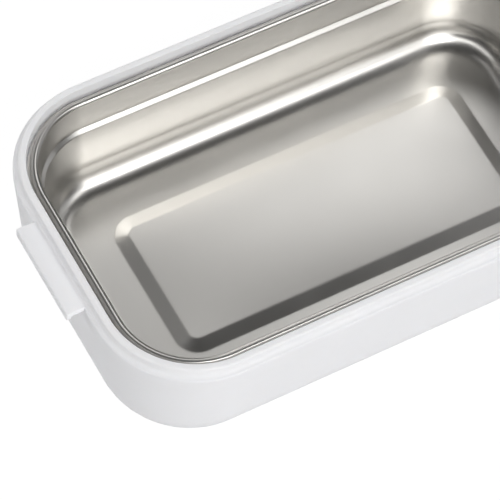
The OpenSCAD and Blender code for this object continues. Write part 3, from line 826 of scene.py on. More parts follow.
@dataclass
class FoodTray:
    """The pressed steel tray with its rolled rim, its step and its raised floor panel."""

    bead_in: float = 4.5
    bead_rise: float = 2.6
    bead_r: float = 1.5
    bead_foot: float = 0.6
    lip_h: float = 0.9
    lip_bend: float = 0.4
    step_in: float = 5.0
    step_w: float = 1.7
    step_fall: float = 1.3
    step_depth: float = 11.4
    step_bend: float = 0.9
    wall_bend: float = 1.1
    wall_in: float = 8.0
    wall_bow: float = 0.13
    floor_r: float = 9.0
    edge_gap: float = 0.4
    level: float = 1.4
    panel_half_l: float = 71.8
    panel_half_w: float = 31.0
    panel_r: float = 8.9
    panel_slope: float = 5.2
    panel_rise: float = 1.0
    panel_bend: float = 5.0
    crown: float = 0.8
    crown_step: float = 4.0

    def upper_wall(self, top_z: float) -> Section:
        """Returns points between the step and the bead, on a wall that leans and bows out a little."""
        step_z = BODY.rim_z - self.step_depth
        lean = self.step_in - self.bead_in
        points = []
        for k in range(2, 10):
            t = k / 10
            out = BODY.open_r - self.step_in + (lean + 4 * self.wall_bow * (1 - t)) * t
            points.append((out, step_z + (top_z - step_z) * t))
        return points

    def wall_section(self) -> Section:
        """Returns the upper face of the sheet from the floor to the rim's edge."""
        edge = BODY.open_r
        step_z = BODY.rim_z - self.step_depth
        foot = edge - self.wall_in
        bead = edge - self.bead_in + self.bead_r
        top_z = BODY.rim_z + self.bead_foot
        return (
            [(foot - self.floor_r - self.level, BODY.floor_z)]
            + round_arc(foot - self.floor_r, BODY.floor_z + self.floor_r, self.floor_r, -90, 0, 16)
            + rounded(
                [
                    (foot, BODY.floor_z + self.floor_r + 1),
                    (edge - self.step_in - self.step_w, step_z - self.step_fall, self.step_bend),
                    (edge - self.step_in, step_z, self.wall_bend),
                    *self.upper_wall(top_z),
                    (bead - self.bead_r, top_z),
                ],
                5,
            )
            + round_arc(bead, BODY.rim_z + self.bead_rise - self.bead_r, self.bead_r, 180, 0, 14)
            + rounded(
                [
                    (bead + self.bead_r, BODY.rim_z + self.lip_h),
                    (bead + self.bead_r, BODY.rim_z, self.lip_bend),
                    (edge - self.edge_gap, BODY.rim_z),
                ],
                4,
            )
        )

    def panel_section(self) -> Section:
        """Returns the sloping edge of the floor panel, with both its bends rounded."""
        low = BODY.floor_z
        high = low + self.panel_rise
        outer = self.panel_r
        inner = outer - self.panel_slope
        return rounded(
            [
                (outer + self.level, low),
                (outer, low, self.panel_bend),
                (inner, high, self.panel_bend),
                (inner - self.level, high),
            ],
            5,
        )

    def crown_panel(self, tray: bpy.types.Object) -> None:
        """Raises the middle of the pressed panel a little, as steel springs back from the press."""
        top = (BODY.floor_z + self.panel_rise) * MM
        half_l = self.panel_half_l - self.panel_slope
        half_w = self.panel_half_w - self.panel_slope

        def on_top(face: bmesh.types.BMFace) -> bool:
            """Tells whether a face belongs to the level top of the panel."""
            return face.normal.z ** 2 > 0.99 and abs(face.calc_center_median().z - top) < 0.01 * MM

        edit(tray)
        for axis, half in ((0, half_l), (1, half_w)):
            cuts = int(half // self.crown_step)
            for k in range(-cuts, cuts + 1):
                select_where(tray, Part.FACE, on_top)
                place, way = [0.0, 0.0, 0.0], [0, 0, 0]
                place[axis], way[axis] = k * self.crown_step * MM, 1
                bpy.ops.mesh.bisect(plane_co=place, plane_no=way)
        mesh = bmesh.from_edit_mesh(tray.data)
        for vert in mesh.verts:
            if abs(vert.co.z - top) < 0.01 * MM:
                x, y = vert.co.x / (half_l * MM), vert.co.y / (half_w * MM)
                if max(abs(x), abs(y)) < 1:
                    vert.co.z += self.crown * MM * (1 - x ** 2) * (1 - y ** 2)
        bmesh.update_edit_mesh(tray.data)
        object_mode()

    def build(self, paint: Paint) -> None:
        """Models the tray as one sheet and gives it the thickness of its steel."""
        wall = sweep("food_tray_steel", self.wall_section())
        px = self.panel_half_l - self.panel_r
        py = self.panel_half_w - self.panel_r
        panel = sweep("floor_panel", self.panel_section(), Plan(-px, px, py))
        tray = join("food_tray_steel", [wall, panel])
        join_loops_at(tray, BODY.floor_z)
        fill_at(tray, BODY.floor_z + self.panel_rise)
        self.crown_panel(tray)
        turn_up(tray)
        modify(tray, "SOLIDIFY", thickness=BODY.steel * MM, offset=-1)
        paint.dress(tray, "tray_steel", "tray", "food_tray")


@dataclass
class InnerFrame:
    """The white inner frame: the collar round the opening and the well under the tray."""

    collar_w: float = 2.7
    inner_edge: float = 0.3
    outer_edge: float = 1.0
    cove: float = 1.8
    well_in: float = 1.4
    well_out: float = 3.2
    hole_half_l: float = 62.0
    hole_half_w: float = 24.0
    hole_r: float = 8.0
    hole_lip: float = 4.0
    ledge_t: float = 1.8
    skirt_w: float = 0.7
    cove_reach: float = 1.2
    sink: float = 0.05
    tray: FoodTray = field(default_factory=FoodTray)

    def well_face(self, out: float) -> list[tuple[float, ...]]:
        """Returns the tray's face moved outward, from the top down to the level floor."""
        step_z = BODY.rim_z - self.tray.step_depth
        edge = BODY.open_r
        foot = edge - self.tray.wall_in - self.tray.floor_r
        bend = self.tray.floor_r + out
        corner = (foot + bend, BODY.floor_z + self.tray.floor_r - bend)
        return [
            (edge - self.tray.step_in + out, step_z - out, 0.5),
            (edge - self.tray.step_in - self.tray.step_w + out, step_z - self.tray.step_fall - out, 0.5),
            (corner[0], corner[1], bend - 0.2),
        ]

    def section(self) -> Section:
        """Returns the frame's section from the floor of the well, over the collar, to its underside."""
        out = BODY.open_r
        top = BODY.collar_top
        ledge = BODY.rim_z - BODY.steel
        ledge_under = ledge - self.ledge_t
        foot_z = BODY.shoulder_top - self.sink
        well = list(reversed(self.well_face(self.well_in)))
        skin = self.well_face(self.well_out)
        side = out + self.collar_w
        return (
            rounded(
                [
                    (self.hole_r + self.hole_lip, BODY.floor_z - self.well_in),
                    *well,
                    (out - self.tray.step_in + self.well_in, ledge, 0.4),
                    (out, ledge, 0.2),
                    (out, top, self.inner_edge),
                    (side, top, self.outer_edge),
                    (side, BODY.shoulder_top + self.cove + 0.1),
                ],
                6,
            )
            + round_arc(side + self.cove, BODY.shoulder_top + self.cove, self.cove, 180, 252)
            + rounded(
                [
                    (side + self.cove_reach, foot_z),
                    (out + self.skirt_w, foot_z),
                    (out + self.skirt_w, ledge_under, 0.3),
                    (out - self.tray.step_in + self.well_out, ledge_under, 0.3),
                    *skin,
                    (self.hole_r + self.hole_lip, BODY.floor_z - self.well_out),
                ],
                6,
            )
        )

    def build(self, paint: Paint) -> None:
        """Models the frame with the hole in its floor for the heating plate."""
        ring = sweep("inner_frame_plastic", self.section())
        floor_top = BODY.floor_z - self.well_in
        floor_under = BODY.floor_z - self.well_out
        hole_x = self.hole_half_l - self.hole_r
        hole = sweep(
            "hole_wall", [(self.hole_r, floor_top), (self.hole_r, floor_under)],
            Plan(-hole_x, hole_x, self.hole_half_w - self.hole_r),
        )
        whole = join("inner_frame_plastic", [ring, hole])
        join_loops_at(whole, floor_top)
        join_loops_at(whole, floor_under)
        turn_outward(whole)
        paint.dress(whole, "frame_white", "base", "inner_frame")


@dataclass
class OuterShell:
    """The white outer shell with its shoulder, its catch tab, its hinge ears and its end panel."""

    tab_out: float = 6.69
    tab_half_w: float = 19.5
    tab_y: float = 1.3
    tab_t: float = 2.5
    tab_root: float = 1.5
    lip_t: float = 2.0
    tab_lip: float = 4.2
    shoulder_r: float = 0.9
    shoulder_in: float = 0.8
    deck_out: float = 0.9
    cover_out: float = 10.0
    cover_t: float = 1.2
    cover_lip: float = 4.0
    ear_gap: float = 0.4
    ear_w: float = 5.0
    ear_root: float = 0.5
    panel_t: float = 5.2
    panel_half: tuple[float, float] = (-29.0, 27.0)
    panel_rise: tuple[float, float] = (17.0, 42.75)

    def section(self) -> Section:
        """Returns the closed section of the shell's wall."""
        top = BODY.shoulder_top
        rim = BODY.open_r + self.shoulder_in
        out = BODY.open_r + BODY.shoulder_out
        low = BODY.foot_h
        bend = BODY.bottom_r
        bend_x = out - BODY.wall_draft - bend
        inside = out - BODY.wall
        return (
            rounded(
                [
                    (rim, top),
                    (out, top, self.shoulder_r),
                    (out - 0.1, top - self.tab_t),
                    (out - BODY.wall_draft, low + bend),
                ],
                6,
            )
            + round_arc(bend_x, low + bend, bend, 0, -90, 16)[1:]
            + rounded(
                [
                    (bend_x - 1, low),
                    (self.cover_out, low, 0.3),
                    (self.cover_out, low + self.cover_t),
                    (self.cover_out - self.cover_lip, low + self.cover_t),
                    (self.cover_out - self.cover_lip, low + BODY.wall),
                ],
                3,
            )
            + round_arc(bend_x, low + bend, bend - BODY.wall, -90, 0, 10)
            + [(inside, top - BODY.wall), (rim, top - BODY.wall)]
        )

    def tab(self) -> bpy.types.Object:
        """Models the catch tab with its turned-down lip."""
        left = -(BODY.open_half_l + BODY.shoulder_out)
        tip = left - self.tab_out
        top = BODY.shoulder_top
        lip_x = (tip + self.lip_t) * MM
        piece = block(
            "tab", (tip, self.tab_y - self.tab_half_w, top - self.tab_t),
            (left + self.tab_root, self.tab_y + self.tab_half_w, top),
        )
        edit(piece)
        bpy.ops.mesh.select_all(action="SELECT")
        bpy.ops.mesh.bisect(plane_co=(lip_x, 0, 0), plane_no=(1, 0, 0))
        select_where(
            piece, Part.FACE, lambda face: face.normal.z < -0.9 and face.calc_center_median().x < lip_x
        )
        bpy.ops.mesh.extrude_region_move(
            TRANSFORM_OT_translate={"value": (0, 0, -(self.tab_lip - self.tab_t) * MM)}
        )
        object_mode()
        soften(piece, 0.8, 4)
        return piece

    def hinge_ears(self) -> list[bpy.types.Object]:
        """Models the two ears that hold the hinge pin."""
        r = BODY.knuckle_r
        return ears(
            (BODY.hinge_x, 0, BODY.hinge_z), BODY.knuckle_half + self.ear_gap, self.ear_w, r,
            (BODY.hinge_x - r, BODY.shoulder_top - self.ear_root), (BODY.hinge_x + r, BODY.hinge_z),
        )

    def deck(self, plan: Plan) -> bpy.types.Object:
        """Models the level shoulder over the end bay, open where the frame stands."""
        under = BODY.shoulder_top - BODY.wall
        out = BODY.open_r + self.deck_out
        deck = slab("deck", plan, out, under, BODY.shoulder_top)
        cut(deck, slab("opening", OPENING, out + 0.1, under - 5, BODY.shoulder_top + 5))
        return deck

    def panel(self) -> bpy.types.Object:
        """Models the flat end face that carries the inlet, the switch and the lamp."""
        low = (BODY.panel_x - self.panel_t, self.panel_half[0], self.panel_rise[0])
        high = (BODY.panel_x, self.panel_half[1], self.panel_rise[1])
        return round_along(block("panel", low, high), 0, 2.5)

    def build(self, paint: Paint) -> None:
        """Models the shell and sets it in place of its solid."""
        plan = Plan(-BODY.corner_x, BODY.bay_x, BODY.corner_y)
        shell = sweep("outer_shell_plastic", self.section(), plan, closed=True)
        turn_outward(shell)
        panel = self.panel()
        for piece in (shell, panel):
            for cutter in FITTINGS.cutters():
                cut(piece, cutter)
        whole = join("outer_shell_plastic", [shell, panel, self.deck(plan), self.tab(), *self.hinge_ears()])
        paint.dress(whole, "shell_white", "base", "outer_shell")


# The end panel's fittings


@dataclass(frozen=True)
class Fittings:
    """Sizes of the inlet, its flap, the switch and the lamp, in millimetres."""

    bezel_t: float = 1.5
    inlet_y: float = -15.0
    inlet_z: float = 29.0
    inlet_w: float = 20.0
    inlet_h: float = 12.0
    inlet_depth: float = 18.0
    inlet_edge: float = 2.0
    mouth_w: float = 16.0
    mouth_h: float = 8.0
    mouth_depth: float = 14.0
    contact_y: float = 4.5
    contact_r: float = 1.2
    contact_back: float = 2.0
    contact_front: float = 3.0
    switch_y: float = 15.0
    switch_w: float = 13.0
    switch_h: float = 19.0
    switch_depth: float = 14.0
    switch_edge: float = 1.5
    rocker_w: float = 10.0
    rocker_gap: float = 0.3
    rocker_half: float = 7.6
    rocker_foot: float = 7.1
    rocker_proud: float = 2.6
    rocker_belly: float = 4.0
    rock_angle: float = 14.0
    well_depth: float = 9.0
    lamp_y: float = 1.0
    lamp_z: float = 34.0
    lamp_r: float = 2.5
    lamp_deep: float = 6.2
    flap_out: float = 3.7
    flap_up: float = 10.6
    flap_half: float = 8.6
    flap_gap: float = 0.3
    flap_ear_w: float = 2.0
    flap_t: float = 1.6
    flap_barrel_r: float = 1.9
    flap_pin_r: float = 1.0
    flap_pin_over: float = 2.3
    flap_low: float = 21.0

    @property
    def flap_x(self) -> float:
        """Place of the flap's pin, outside the panel."""
        return BODY.panel_x + self.flap_out

    @property
    def flap_z(self) -> float:
        """Height of the flap's pin."""
        return self.inlet_z + self.flap_up

    def box(
        self, name: str, back: float, front: float, y: float, half_w: float, half_h: float,
    ) -> bpy.types.Object:
        """Models a block at the inlet's height, between two places along the length."""
        return block(
            name, (back, y - half_w, self.inlet_z - half_h), (front, y + half_w, self.inlet_z + half_h)
        )

    def cutters(self) -> list[bpy.types.Object]:
        """Models the solids that cut the panel's three openings."""
        back, front = BODY.panel_x - 12, BODY.panel_x + 2
        inlet = self.box("inlet_cutter", back, front, self.inlet_y, self.inlet_w / 2, self.inlet_h / 2)
        switch = self.box("switch_cutter", back, front, self.switch_y, self.switch_w / 2, self.switch_h / 2)
        lamp = rod(
            "lamp_cutter", ((back + front) / 2, self.lamp_y, self.lamp_z), self.lamp_r, front - back, Axis.X
        )
        return [inlet, switch, lamp]

    def bezel(self, y: float, half_w: float, half_h: float, corner: float) -> bpy.types.Object:
        """Models a raised frame with round corners on the panel."""
        piece = self.box("bezel", BODY.panel_x, BODY.panel_x + self.bezel_t, y, half_w, half_h)
        round_along(piece, 0, corner)
        soften(piece, 0.4)
        return piece

    def socket(self) -> bpy.types.Object:
        """Models the inlet's housing with its mouth and the ears of its flap."""
        y, half_w, half_h = self.inlet_y, self.inlet_w / 2, self.inlet_h / 2
        front = BODY.panel_x + self.bezel_t
        body = self.box("socket_body", BODY.panel_x - self.inlet_depth, front - 0.1, y, half_w, half_h)
        bezel = self.bezel(y, half_w + self.inlet_edge, half_h + self.inlet_edge, 2.5)
        for piece in (body, bezel):
            mouth = self.box(
                "mouth", BODY.panel_x - self.mouth_depth, front + 1, y, self.mouth_w / 2, self.mouth_h / 2
            )
            cut(piece, round_along(mouth, 0, self.mouth_h / 2 - 0.02))
        flap_ears = ears(
            (self.flap_x, y, self.flap_z), self.flap_half + self.flap_gap, self.flap_ear_w,
            self.flap_barrel_r,
            (BODY.panel_x, self.inlet_z + half_h), (self.flap_x, self.flap_z + self.flap_barrel_r),
        )
        return join("inlet_socket_nylon", [body, bezel, *flap_ears])

    def contacts(self) -> bpy.types.Object:
        """Models the two round-nosed contact pins."""
        back = BODY.panel_x - self.inlet_depth - self.contact_back
        front = BODY.panel_x - self.contact_front
        pins = [
            rod(
                "contact", ((back + front) / 2, self.inlet_y + side * self.contact_y, self.inlet_z),
                self.contact_r, front - back, Axis.X, 0.7,
            )
            for side in (-1, 1)
        ]
        return join("inlet_pins_brass", pins)

    def flap(self) -> bpy.types.Object:
        """Models the soft flap with its barrel and the lip that a finger lifts."""
        barrel = rod(
            "barrel", (self.flap_x, self.inlet_y, self.flap_z), self.flap_barrel_r, 2 * self.flap_half,
            Axis.Y, 0.3,
        )
        front = self.flap_x + 0.4
        near, far = self.inlet_y - self.flap_half, self.inlet_y + self.flap_half
        leaf = block("leaf", (front - self.flap_t, near, self.flap_low), (front, far, self.flap_z))
        soften(round_along(leaf, 0, 2), 0.4)
        lip = block(
            "lip", (front - 1, near + 4, self.flap_low + 0.4), (front + 1.2, far - 4, self.flap_low + 2), 0.5
        )
        return join("inlet_flap_silicone", [barrel, leaf, lip])

    def switch(self) -> bpy.types.Object:
        """Models the switch's housing with the well that its rocker stands in."""
        y, half_w, half_h = self.switch_y, self.switch_w / 2, self.switch_h / 2
        front = BODY.panel_x + self.bezel_t
        body = self.box("switch_housing", BODY.panel_x - self.switch_depth, front - 0.1, y, half_w, half_h)
        bezel = self.bezel(y, half_w + self.switch_edge, half_h + self.switch_edge, 1.5)
        for piece in (body, bezel):
            well = self.box(
                "well", BODY.panel_x - self.well_depth, front + 1, y,
                self.rocker_w / 2 + self.rocker_gap, self.rocker_half + 1,
            )
            cut(piece, well)
        return join("switch_body_nylon", [body, bezel])

    def rocker(self) -> bpy.types.Object:
        """Models the rocker, pressed at its lower half."""
        x, z = BODY.panel_x - 1, self.inlet_z
        rise = self.rocker_half * math.tan(math.radians(self.rock_angle))
        outline = [
            (x + self.rocker_proud, z),
            (x + self.rocker_proud + rise, z + self.rocker_half),
            (x - 1, z + self.rocker_foot),
            (x - self.rocker_belly, z),
            (x - 1, z - self.rocker_foot),
            (x + self.rocker_proud, z - self.rocker_half),
        ]
        piece = prism("switch_rocker_plastic", outline, self.switch_y - self.rocker_w / 2, self.rocker_w)
        soften(piece, 0.6, 4, 12)
        return piece

    def build(self, paint: Paint) -> None:
        """Models the fittings and sets them in place of their solids."""
        lens = rod(
            "lamp_lens_acrylic",
            (BODY.panel_x + 1 - (self.lamp_deep + 1) / 2, self.lamp_y, self.lamp_z),
            self.lamp_r, self.lamp_deep + 1, Axis.X, 0.9,
        )
        pin = rod(
            "flap_pin_steel", (self.flap_x, self.inlet_y, self.flap_z), self.flap_pin_r,
            2 * (self.flap_half + self.flap_pin_over), Axis.Y, 0.25,
        )
        for piece, slot, body, node in (
            (self.socket(), "black_plastic", "base", "inlet_socket"),
            (self.contacts(), "pin_brass", "base", "inlet_pins"),
            (self.flap(), "grey_silicone", "flap", "inlet_flap"),
            (pin, "pin_steel", "base", "flap_pin"),
            (self.switch(), "black_plastic", "base", "switch_body"),
            (self.rocker(), "rocker_red", "rocker", "switch_rocker"),
            (lens, "lens_amber", "base", "lamp_lens"),
        ):
            paint.dress(piece, slot, body, node)


FITTINGS = Fittings()


@dataclass
class Lid:
    """The hinged lid with its inner plate, its seal, its vent and its latch."""

    lid_top: float = 73.98
    lid_r: float = 9.0
    lid_lean: float = 1.0
    lid_wall: float = 2.2
    skirt_out: float = 5.6
    skirt_t: float = 1.9
    skirt_z: float = 55.3
    skirt_step: float = 63.0
    notch_z: float = 58.8
    neck_low: float = 58.0
    neck_root: float = 1.2
    lug: float = 3.0
    stop_gap: float = 0.05
    hinge_pin_r: float = 1.5
    hinge_pin_l: float = 42.8
    plate_z: float = 60.0
    plate_t: float = 1.6
    plate_in: float = 1.2
    plate_hole: float = 12.0
    rib_in: float = 19.0
    rib_out: float = 23.0
    rib_side: float = 1.0
    rib_h: float = 0.8
    groove_w: float = 0.8
    seal_z: float = 56.5
    seal_out: float = 30.18
    seal_in: float = 27.5
    seal_crest: float = 3.0
    seal_lip: float = 1.2
    vent_x: float = 60.0
    vent_r: float = 4.0
    cap_r: float = 8.0
    cap_h: float = 3.0
    cap_rim: float = 2.2
    cap_dish: float = 0.9
    latch_x: float = -112.0
    latch_z: float = 66.0
    latch_half: float = 12.6
    barrel_r: float = 2.8
    latch_pin_r: float = 1.2
    latch_ear_w: float = 3.0
    latch_gap: float = 0.4
    latch_swing: float = 35.0
    plate_x: float = -114.4
    latch_t: float = 2.2
    nose_top: float = 50.0
    nose_h: float = 2.4
    nose_reach: float = 3.2

    def section(self) -> Section:
        """Returns the lid's section from under its top, round the skirt, to its top."""
        out = BODY.open_r + self.skirt_out
        bend = out - self.lid_lean - self.lid_r
        z = self.lid_top - self.lid_r
        return (
            [(bend - 6, self.lid_top - self.lid_wall)]
            + round_arc(bend, z, self.lid_r - self.lid_wall, 90, 0, 10)
            + rounded(
                [
                    (out - self.skirt_t, self.skirt_step),
                    (out - self.skirt_t, self.skirt_z, 0.4),
                    (out, self.skirt_z, 0.6),
                    (out - self.lid_lean, z - 1),
                ],
                4,
            )
            + round_arc(bend, z, self.lid_r, 0, 90, 14)
            + rounded(
                [
                    (bend - 1.5, self.lid_top),
                    (bend - 3, self.lid_top, 0.4),
                    (bend - 3.6, self.lid_top - 0.5, 0.4),
                    (bend - 4.2, self.lid_top, 0.4),
                    (bend - 6, self.lid_top),
                ],
                4,
            )
        )

    def vent_cutter(self, low: float, high: float) -> bpy.types.Object:
        """Models the rod that cuts the vent's hole."""
        return rod("vent_cutter", (self.vent_x, 0, (low + high) / 2), self.vent_r, high - low, Axis.Z)

    def shell(self) -> bpy.types.Object:
        """Models the closed lid's shell, then opens it on its stop."""
        top = sweep("lid_shell_plastic", self.section())
        fill_at(top, self.lid_top)
        fill_at(top, self.lid_top - self.lid_wall)
        turn_outward(top)
        out = BODY.open_half_l + self.skirt_out
        half_w = BODY.open_half_w
        notch_low = (BODY.open_half_l + 1, -half_w, self.skirt_z - 1)
        cut(top, block("notch", notch_low, (out + 1, half_w, self.notch_z)))
        cut(top, self.vent_cutter(self.lid_top - 4, self.lid_top + 1))
        r, half = BODY.knuckle_r, BODY.knuckle_half
        neck = block(
            "neck", (out - self.neck_root, -half, self.neck_low), (BODY.hinge_x, half, BODY.hinge_z + r), 0.4
        )
        knuckle = rod("knuckle", (BODY.hinge_x, 0, BODY.hinge_z), r, 2 * half, Axis.Y, 0.4)
        shell = opened(join("lid_shell_plastic", [top, neck, knuckle, *self.latch_ears()]))
        stop = block(
            "stop", (BODY.hinge_x, -half, BODY.shoulder_top + self.stop_gap),
            (BODY.hinge_x + self.lug, half, BODY.hinge_z), 0.3,
        )
        return join("lid_shell_plastic", [shell, stop])

    def latch_ears(self) -> list[bpy.types.Object]:
        """Models the two ears that hold the latch's pin."""
        r = self.barrel_r
        inner = -(BODY.open_half_l + self.skirt_out) + self.neck_root
        return ears(
            (self.latch_x, 0, self.latch_z), self.latch_half + self.latch_gap, self.latch_ear_w, r,
            (self.latch_x, self.latch_z - r), (inner, self.latch_z + r),
        )

    def inner_plate(self) -> bpy.types.Object:
        """Models the inner plate with the groove of its seal and a raised rib round its middle."""
        edge = BODY.open_r - self.plate_in
        low, high = self.plate_z, self.plate_z + self.plate_t
        section = rounded(
            [
                (self.plate_hole, low),
                (self.rib_in, low, 0.8),
                (self.rib_in + self.rib_side, low - self.rib_h, 0.6),
                (self.rib_out - self.rib_side, low - self.rib_h, 0.6),
                (self.rib_out, low, 0.8),
                (edge - self.groove_w, low, 0.2),
                (edge - self.groove_w, self.seal_z + 0.6, 0.1),
                (edge, self.seal_z + 0.6, 0.3),
                (edge, high, 0.4),
                (self.plate_hole, high),
            ],
            4,
        )
        plate = sweep("lid_inner_plate_plastic", section)
        fill_at(plate, low)
        fill_at(plate, high)
        turn_outward(plate)
        cut(plate, self.vent_cutter(low - 1, high + 1))
        return opened(plate)

    def seal(self) -> bpy.types.Object:
        """Models the seal with the flat lip that rests on the tray's bead."""
        crest = BODY.open_r - self.seal_crest
        middle = (self.seal_in + self.seal_out) / 2
        section = rounded(
            [
                (middle, self.plate_z),
                (self.seal_in, self.plate_z, 0.2),
                (self.seal_in, self.seal_z + self.seal_lip, 0.5),
                (crest - 0.6, self.seal_z, 0.3),
                (crest + 0.6, self.seal_z, 0.3),
                (self.seal_out, self.seal_z + self.seal_lip, 0.2),
                (self.seal_out, self.plate_z, 0.2),
                (middle + 0.1, self.plate_z),
            ],
            4,
        )
        ring = sweep("lid_seal_silicone", section, closed=True)
        turn_outward(ring)
        return opened(ring)

    def vent(self) -> bpy.types.Object:
        """Models the vent plug with a dished cap that fingers can lift."""
        cap = rod("cap", (self.vent_x, 0, self.lid_top + self.cap_h / 2), self.cap_r, self.cap_h, Axis.Z)
        hollow(cap, 1, self.cap_rim, self.cap_dish)
        soften(cap, 0.6)
        stem_h = self.lid_top + 0.5 - self.plate_z
        stem = rod(
            "stem", (self.vent_x, 0, self.plate_z + stem_h / 2), self.vent_r - 0.05, stem_h, Axis.Z, 0.4
        )
        return opened(join("vent_plug_silicone", [cap, stem]))

    def latch(self) -> bpy.types.Object:
        """Models the latch locked, then swings it out and opens it with the lid."""
        outside = self.plate_x - self.latch_t
        shelf = self.latch_z + 0.5
        foot = self.nose_top - self.nose_h
        half = self.latch_half
        barrel = rod("barrel", (self.latch_x, 0, self.latch_z), self.barrel_r, 2 * half, Axis.Y, 0.3)
        arm = block("arm", (outside, -half, self.latch_z - self.barrel_r), (self.latch_x, half, shelf), 0.5)
        leaf = block("leaf", (outside, -half, foot), (self.plate_x, half, shelf), 0.5)
        nose_x = self.plate_x + self.nose_reach
        nose = block("nose", (outside, -half, foot), (nose_x, half, self.nose_top), 0.5)
        grips = []
        for rise in (1.5, 4.0, 6.5):
            low = (outside - 0.5, -half + 2, foot + rise)
            high = (outside + 0.4, half - 2, foot + rise + 1.2)
            grips.append(block("grip", low, high, 0.3))
        locked = join("latch_plastic", [barrel, arm, leaf, nose, *grips])
        return opened(turned(locked, self.latch_x, self.latch_z, self.latch_swing))

    def build(self, paint: Paint) -> None:
        """Models the lid's pieces and the hinge pin and sets them in place of their solids."""
        hinge_pin = rod(
            "hinge_pin_steel", (BODY.hinge_x, 0, BODY.hinge_z), self.hinge_pin_r, self.hinge_pin_l,
            Axis.Y, 0.35,
        )
        latch_pin = rod(
            "latch_pin_steel", (self.latch_x, 0, self.latch_z), self.latch_pin_r,
            2 * (self.latch_half + self.latch_gap + self.latch_ear_w), Axis.Y, 0.3,
        )
        for piece, slot, body, node in (
            (self.shell(), "shell_white", "lid", "lid_shell"),
            (self.inner_plate(), "frame_white", "lid", "lid_inner_plate"),
            (self.seal(), "seal_silicone", "lid", "lid_seal"),
            (self.vent(), "grey_silicone", "vent", "vent_plug"),
            (self.latch(), "shell_white", "latch", "latch"),
            (opened(latch_pin), "pin_steel", "lid", "latch_pin"),
            (hinge_pin, "pin_steel", "base", "hinge_pin"),
        ):
            paint.dress(piece, slot, body, node)


@dataclass
class Feet:
    """The four soft feet."""

    foot_r: float = 6.0
    flange_r: float = 7.0
    flange_t: float = 0.6
    in_x: float = 6.0
    in_y: float = 4.0
    sole_rim: float = 2.2
    sole_hollow: float = 0.6

    def build(self, paint: Paint) -> None:
        """Models the feet with a hollow in the middle of each sole."""
        made = []
        for x in (-BODY.corner_x + self.in_x, BODY.bay_x - self.in_x):
            for y in (-BODY.corner_y + self.in_y, BODY.corner_y - self.in_y):
                post = rod("foot", (x, y, BODY.foot_h / 2), self.foot_r, BODY.foot_h, Axis.Z)
                hollow(post, -1, self.sole_rim, self.sole_hollow)
                soften(post, 0.35)
                low = BODY.foot_h - self.flange_t
                flange = rod(
                    "flange", (x, y, low + self.flange_t / 2), self.flange_r, self.flange_t, Axis.Z, 0.2
                )
                made += [post, flange]
        feet = join("feet_rubber", made)
        paint.dress(feet, "foot_rubber", "base", "feet")


# Studio


LAMP_DISTANCE = 2.2
LAMP_AIM = (0.0, 0.0, 0.04)


@dataclass(frozen=True)
class Lamp:
    """A softbox that stands at LAMP_DISTANCE from the box and is aimed at it.

    Args:
        name: Name of the lamp.
        azimuth: Its direction in degrees, from straight behind the box towards its hinge end.
        elevation: Its height above the floor in degrees.
        width: Its width in metres.
        height: Its height in metres.
        strength: Brightness of its face.
    """

    name: str
    azimuth: float
    elevation: float
    width: float
    height: float
    strength: float

    def build(self) -> None:
        """Adds the lamp, aimed at the box."""
        around, up = math.radians(self.azimuth), math.radians(self.elevation)
        way = Vector((math.sin(around) * math.cos(up), math.cos(around) * math.cos(up), math.sin(up)))
        spot = Vector(LAMP_AIM) + LAMP_DISTANCE * way
        turn = (-way).to_track_quat("-Z", "Y").to_euler()
        bpy.ops.object.light_add(type="AREA", location=spot, rotation=turn)
        lamp = bpy.context.object
        lamp.name = self.name
        lamp.data.shape = "RECTANGLE"
        lamp.data.size = self.width
        lamp.data.size_y = self.height
        lamp.data.energy = math.pi * self.width * self.height * self.strength


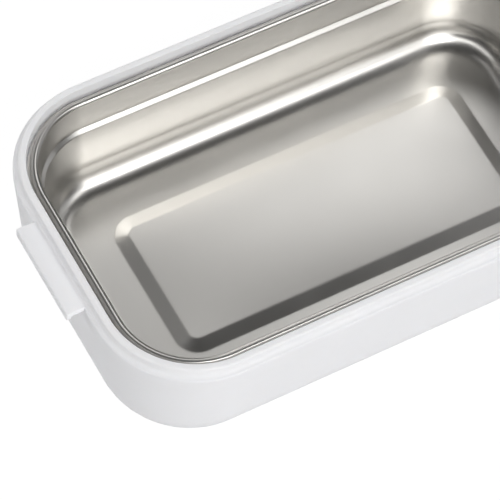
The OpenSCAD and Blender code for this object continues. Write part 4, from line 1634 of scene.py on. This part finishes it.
@dataclass
class Studio:
    """Camera, lamps, backdrop and floor."""

    place: tuple[float, float, float] = (-0.41583, -0.57816, 1.14151)
    azimuth: float = 33.7596
    elevation: float = 58.4314
    roll: float = 6.2250
    lens: float = 265.375
    sensor: float = 36.0
    clip: tuple[float, float] = (0.05, 30.0)
    floor_side: float = 12.0
    room_strength: float = 0.02
    white_strength: float = 1.06
    white_share: float = 0.9
    lamps: tuple[Lamp, ...] = (
        Lamp("back_low", 0, 22, 1.7, 0.54, 4.1),
        Lamp("back_hinge", 45, 51, 1.15, 0.78, 1.7),
        Lamp("front_hinge", 137, 50, 1.2, 0.5, 2.4),
        Lamp("front_low", 180, 28, 1.6, 1.0, 3.5),
        Lamp("front_high", 180, 52, 1.1, 0.36, 11.0),
        Lamp("front_catch", 225, 46, 1.27, 0.39, 3.1),
        Lamp("catch_side", 270, 46, 1.27, 0.39, 2.0),
        Lamp("back_catch", 315, 22, 1.7, 0.54, 4.2),
        Lamp("back_high", 0, 68, 0.73, 0.42, 0.7),
    )

    def camera(self) -> None:
        """Sets the camera where the photograph was taken from."""
        az, el, roll = (math.radians(a) for a in (self.azimuth, self.elevation, self.roll))
        ahead = Vector((math.sin(az) * math.cos(el), math.cos(az) * math.cos(el), -math.sin(el)))
        right = Vector((math.cos(az), -math.sin(az), 0))
        up = right.cross(ahead)
        lean_right = right * math.cos(roll) + up * math.sin(roll)
        lean_up = up * math.cos(roll) - right * math.sin(roll)
        turn = Matrix((lean_right, lean_up, -ahead)).transposed().to_euler()
        bpy.ops.object.camera_add(location=self.place, rotation=turn)
        camera = bpy.context.object
        camera.data.lens = self.lens
        camera.data.sensor_width = self.sensor
        camera.data.clip_start, camera.data.clip_end = self.clip
        bpy.context.scene.camera = camera

    def backdrop(self) -> None:
        """Shows the camera a white room, and everything else the nearly dark one that the lamps stand in."""
        world = bpy.data.worlds.new("studio")
        bpy.context.scene.world = world
        world.use_nodes = True
        tree = world.node_tree
        tree.nodes.clear()
        rays = add_node(tree, "ShaderNodeLightPath")
        room = add_node(
            tree, "ShaderNodeBackground", inputs={"Color": linear("#E6E8EC"), "Strength": self.room_strength}
        )
        seen = add_node(tree, "ShaderNodeBackground", inputs={"Color": (1, 1, 1, 1), "Strength": 1.0})
        shown = add_node(
            tree, "ShaderNodeMixShader",
            links={0: rays.outputs["Is Camera Ray"], 1: room.outputs[0], 2: seen.outputs[0]},
        )
        add_node(tree, "ShaderNodeOutputWorld", links={"Surface": shown.outputs[0]})

    def floor(self) -> None:
        """Lays a pale floor, white to the camera but for a faint shadow of the box."""
        select_nothing()
        bpy.ops.mesh.primitive_plane_add(size=self.floor_side)
        floor = bpy.context.object
        floor.name = "floor"
        material = bpy.data.materials.new("Pale matt floor")
        material.use_nodes = True
        tree = material.node_tree
        tree.nodes.clear()
        rays = add_node(tree, "ShaderNodeLightPath")
        place = add_node(tree, "ShaderNodeTexCoord").outputs["Object"]
        grain = add_node(tree, "ShaderNodeTexNoise", inputs={"Scale": 400.0}, links={"Vector": place})
        tint = add_node(
            tree, "ShaderNodeMix", {"data_type": "RGBA"}, {6: linear("#EFEFEF"), 7: linear("#F4F4F4")},
            {0: grain.outputs["Fac"]},
        )
        matt = add_node(tree, "ShaderNodeBsdfDiffuse", links={"Color": tint.outputs[2]})
        white = add_node(
            tree, "ShaderNodeEmission", inputs={"Color": (1, 1, 1, 1), "Strength": self.white_strength}
        )
        share = add_node(
            tree, "ShaderNodeMath", {"operation": "MULTIPLY"}, {1: self.white_share},
            {0: rays.outputs["Is Camera Ray"]},
        )
        shown = add_node(
            tree, "ShaderNodeMixShader", links={0: share.outputs[0], 1: matt.outputs[0], 2: white.outputs[0]}
        )
        add_node(tree, "ShaderNodeOutputMaterial", links={"Surface": shown.outputs[0]})
        floor.data.materials.append(material)

    def build(self) -> None:
        """Sets up the whole studio."""
        bpy.context.scene.view_settings.view_transform = "Standard"
        self.camera()
        self.backdrop()
        self.floor()
        for lamp in self.lamps:
            lamp.build()


def main() -> None:
    """Builds the pieces and the studio in order."""
    logging.basicConfig(level=logging.INFO, format="%(name)s: %(message)s")
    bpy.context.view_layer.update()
    paint = Paint()
    paint.dress_nodes()
    Studio().build()
    for part in (FoodTray(), InnerFrame(), OuterShell(), FITTINGS, Lid(), Feet()):
        part.build(paint)
        LOG.info("%s built", type(part).__name__)


if __name__ == "__main__":
    main()
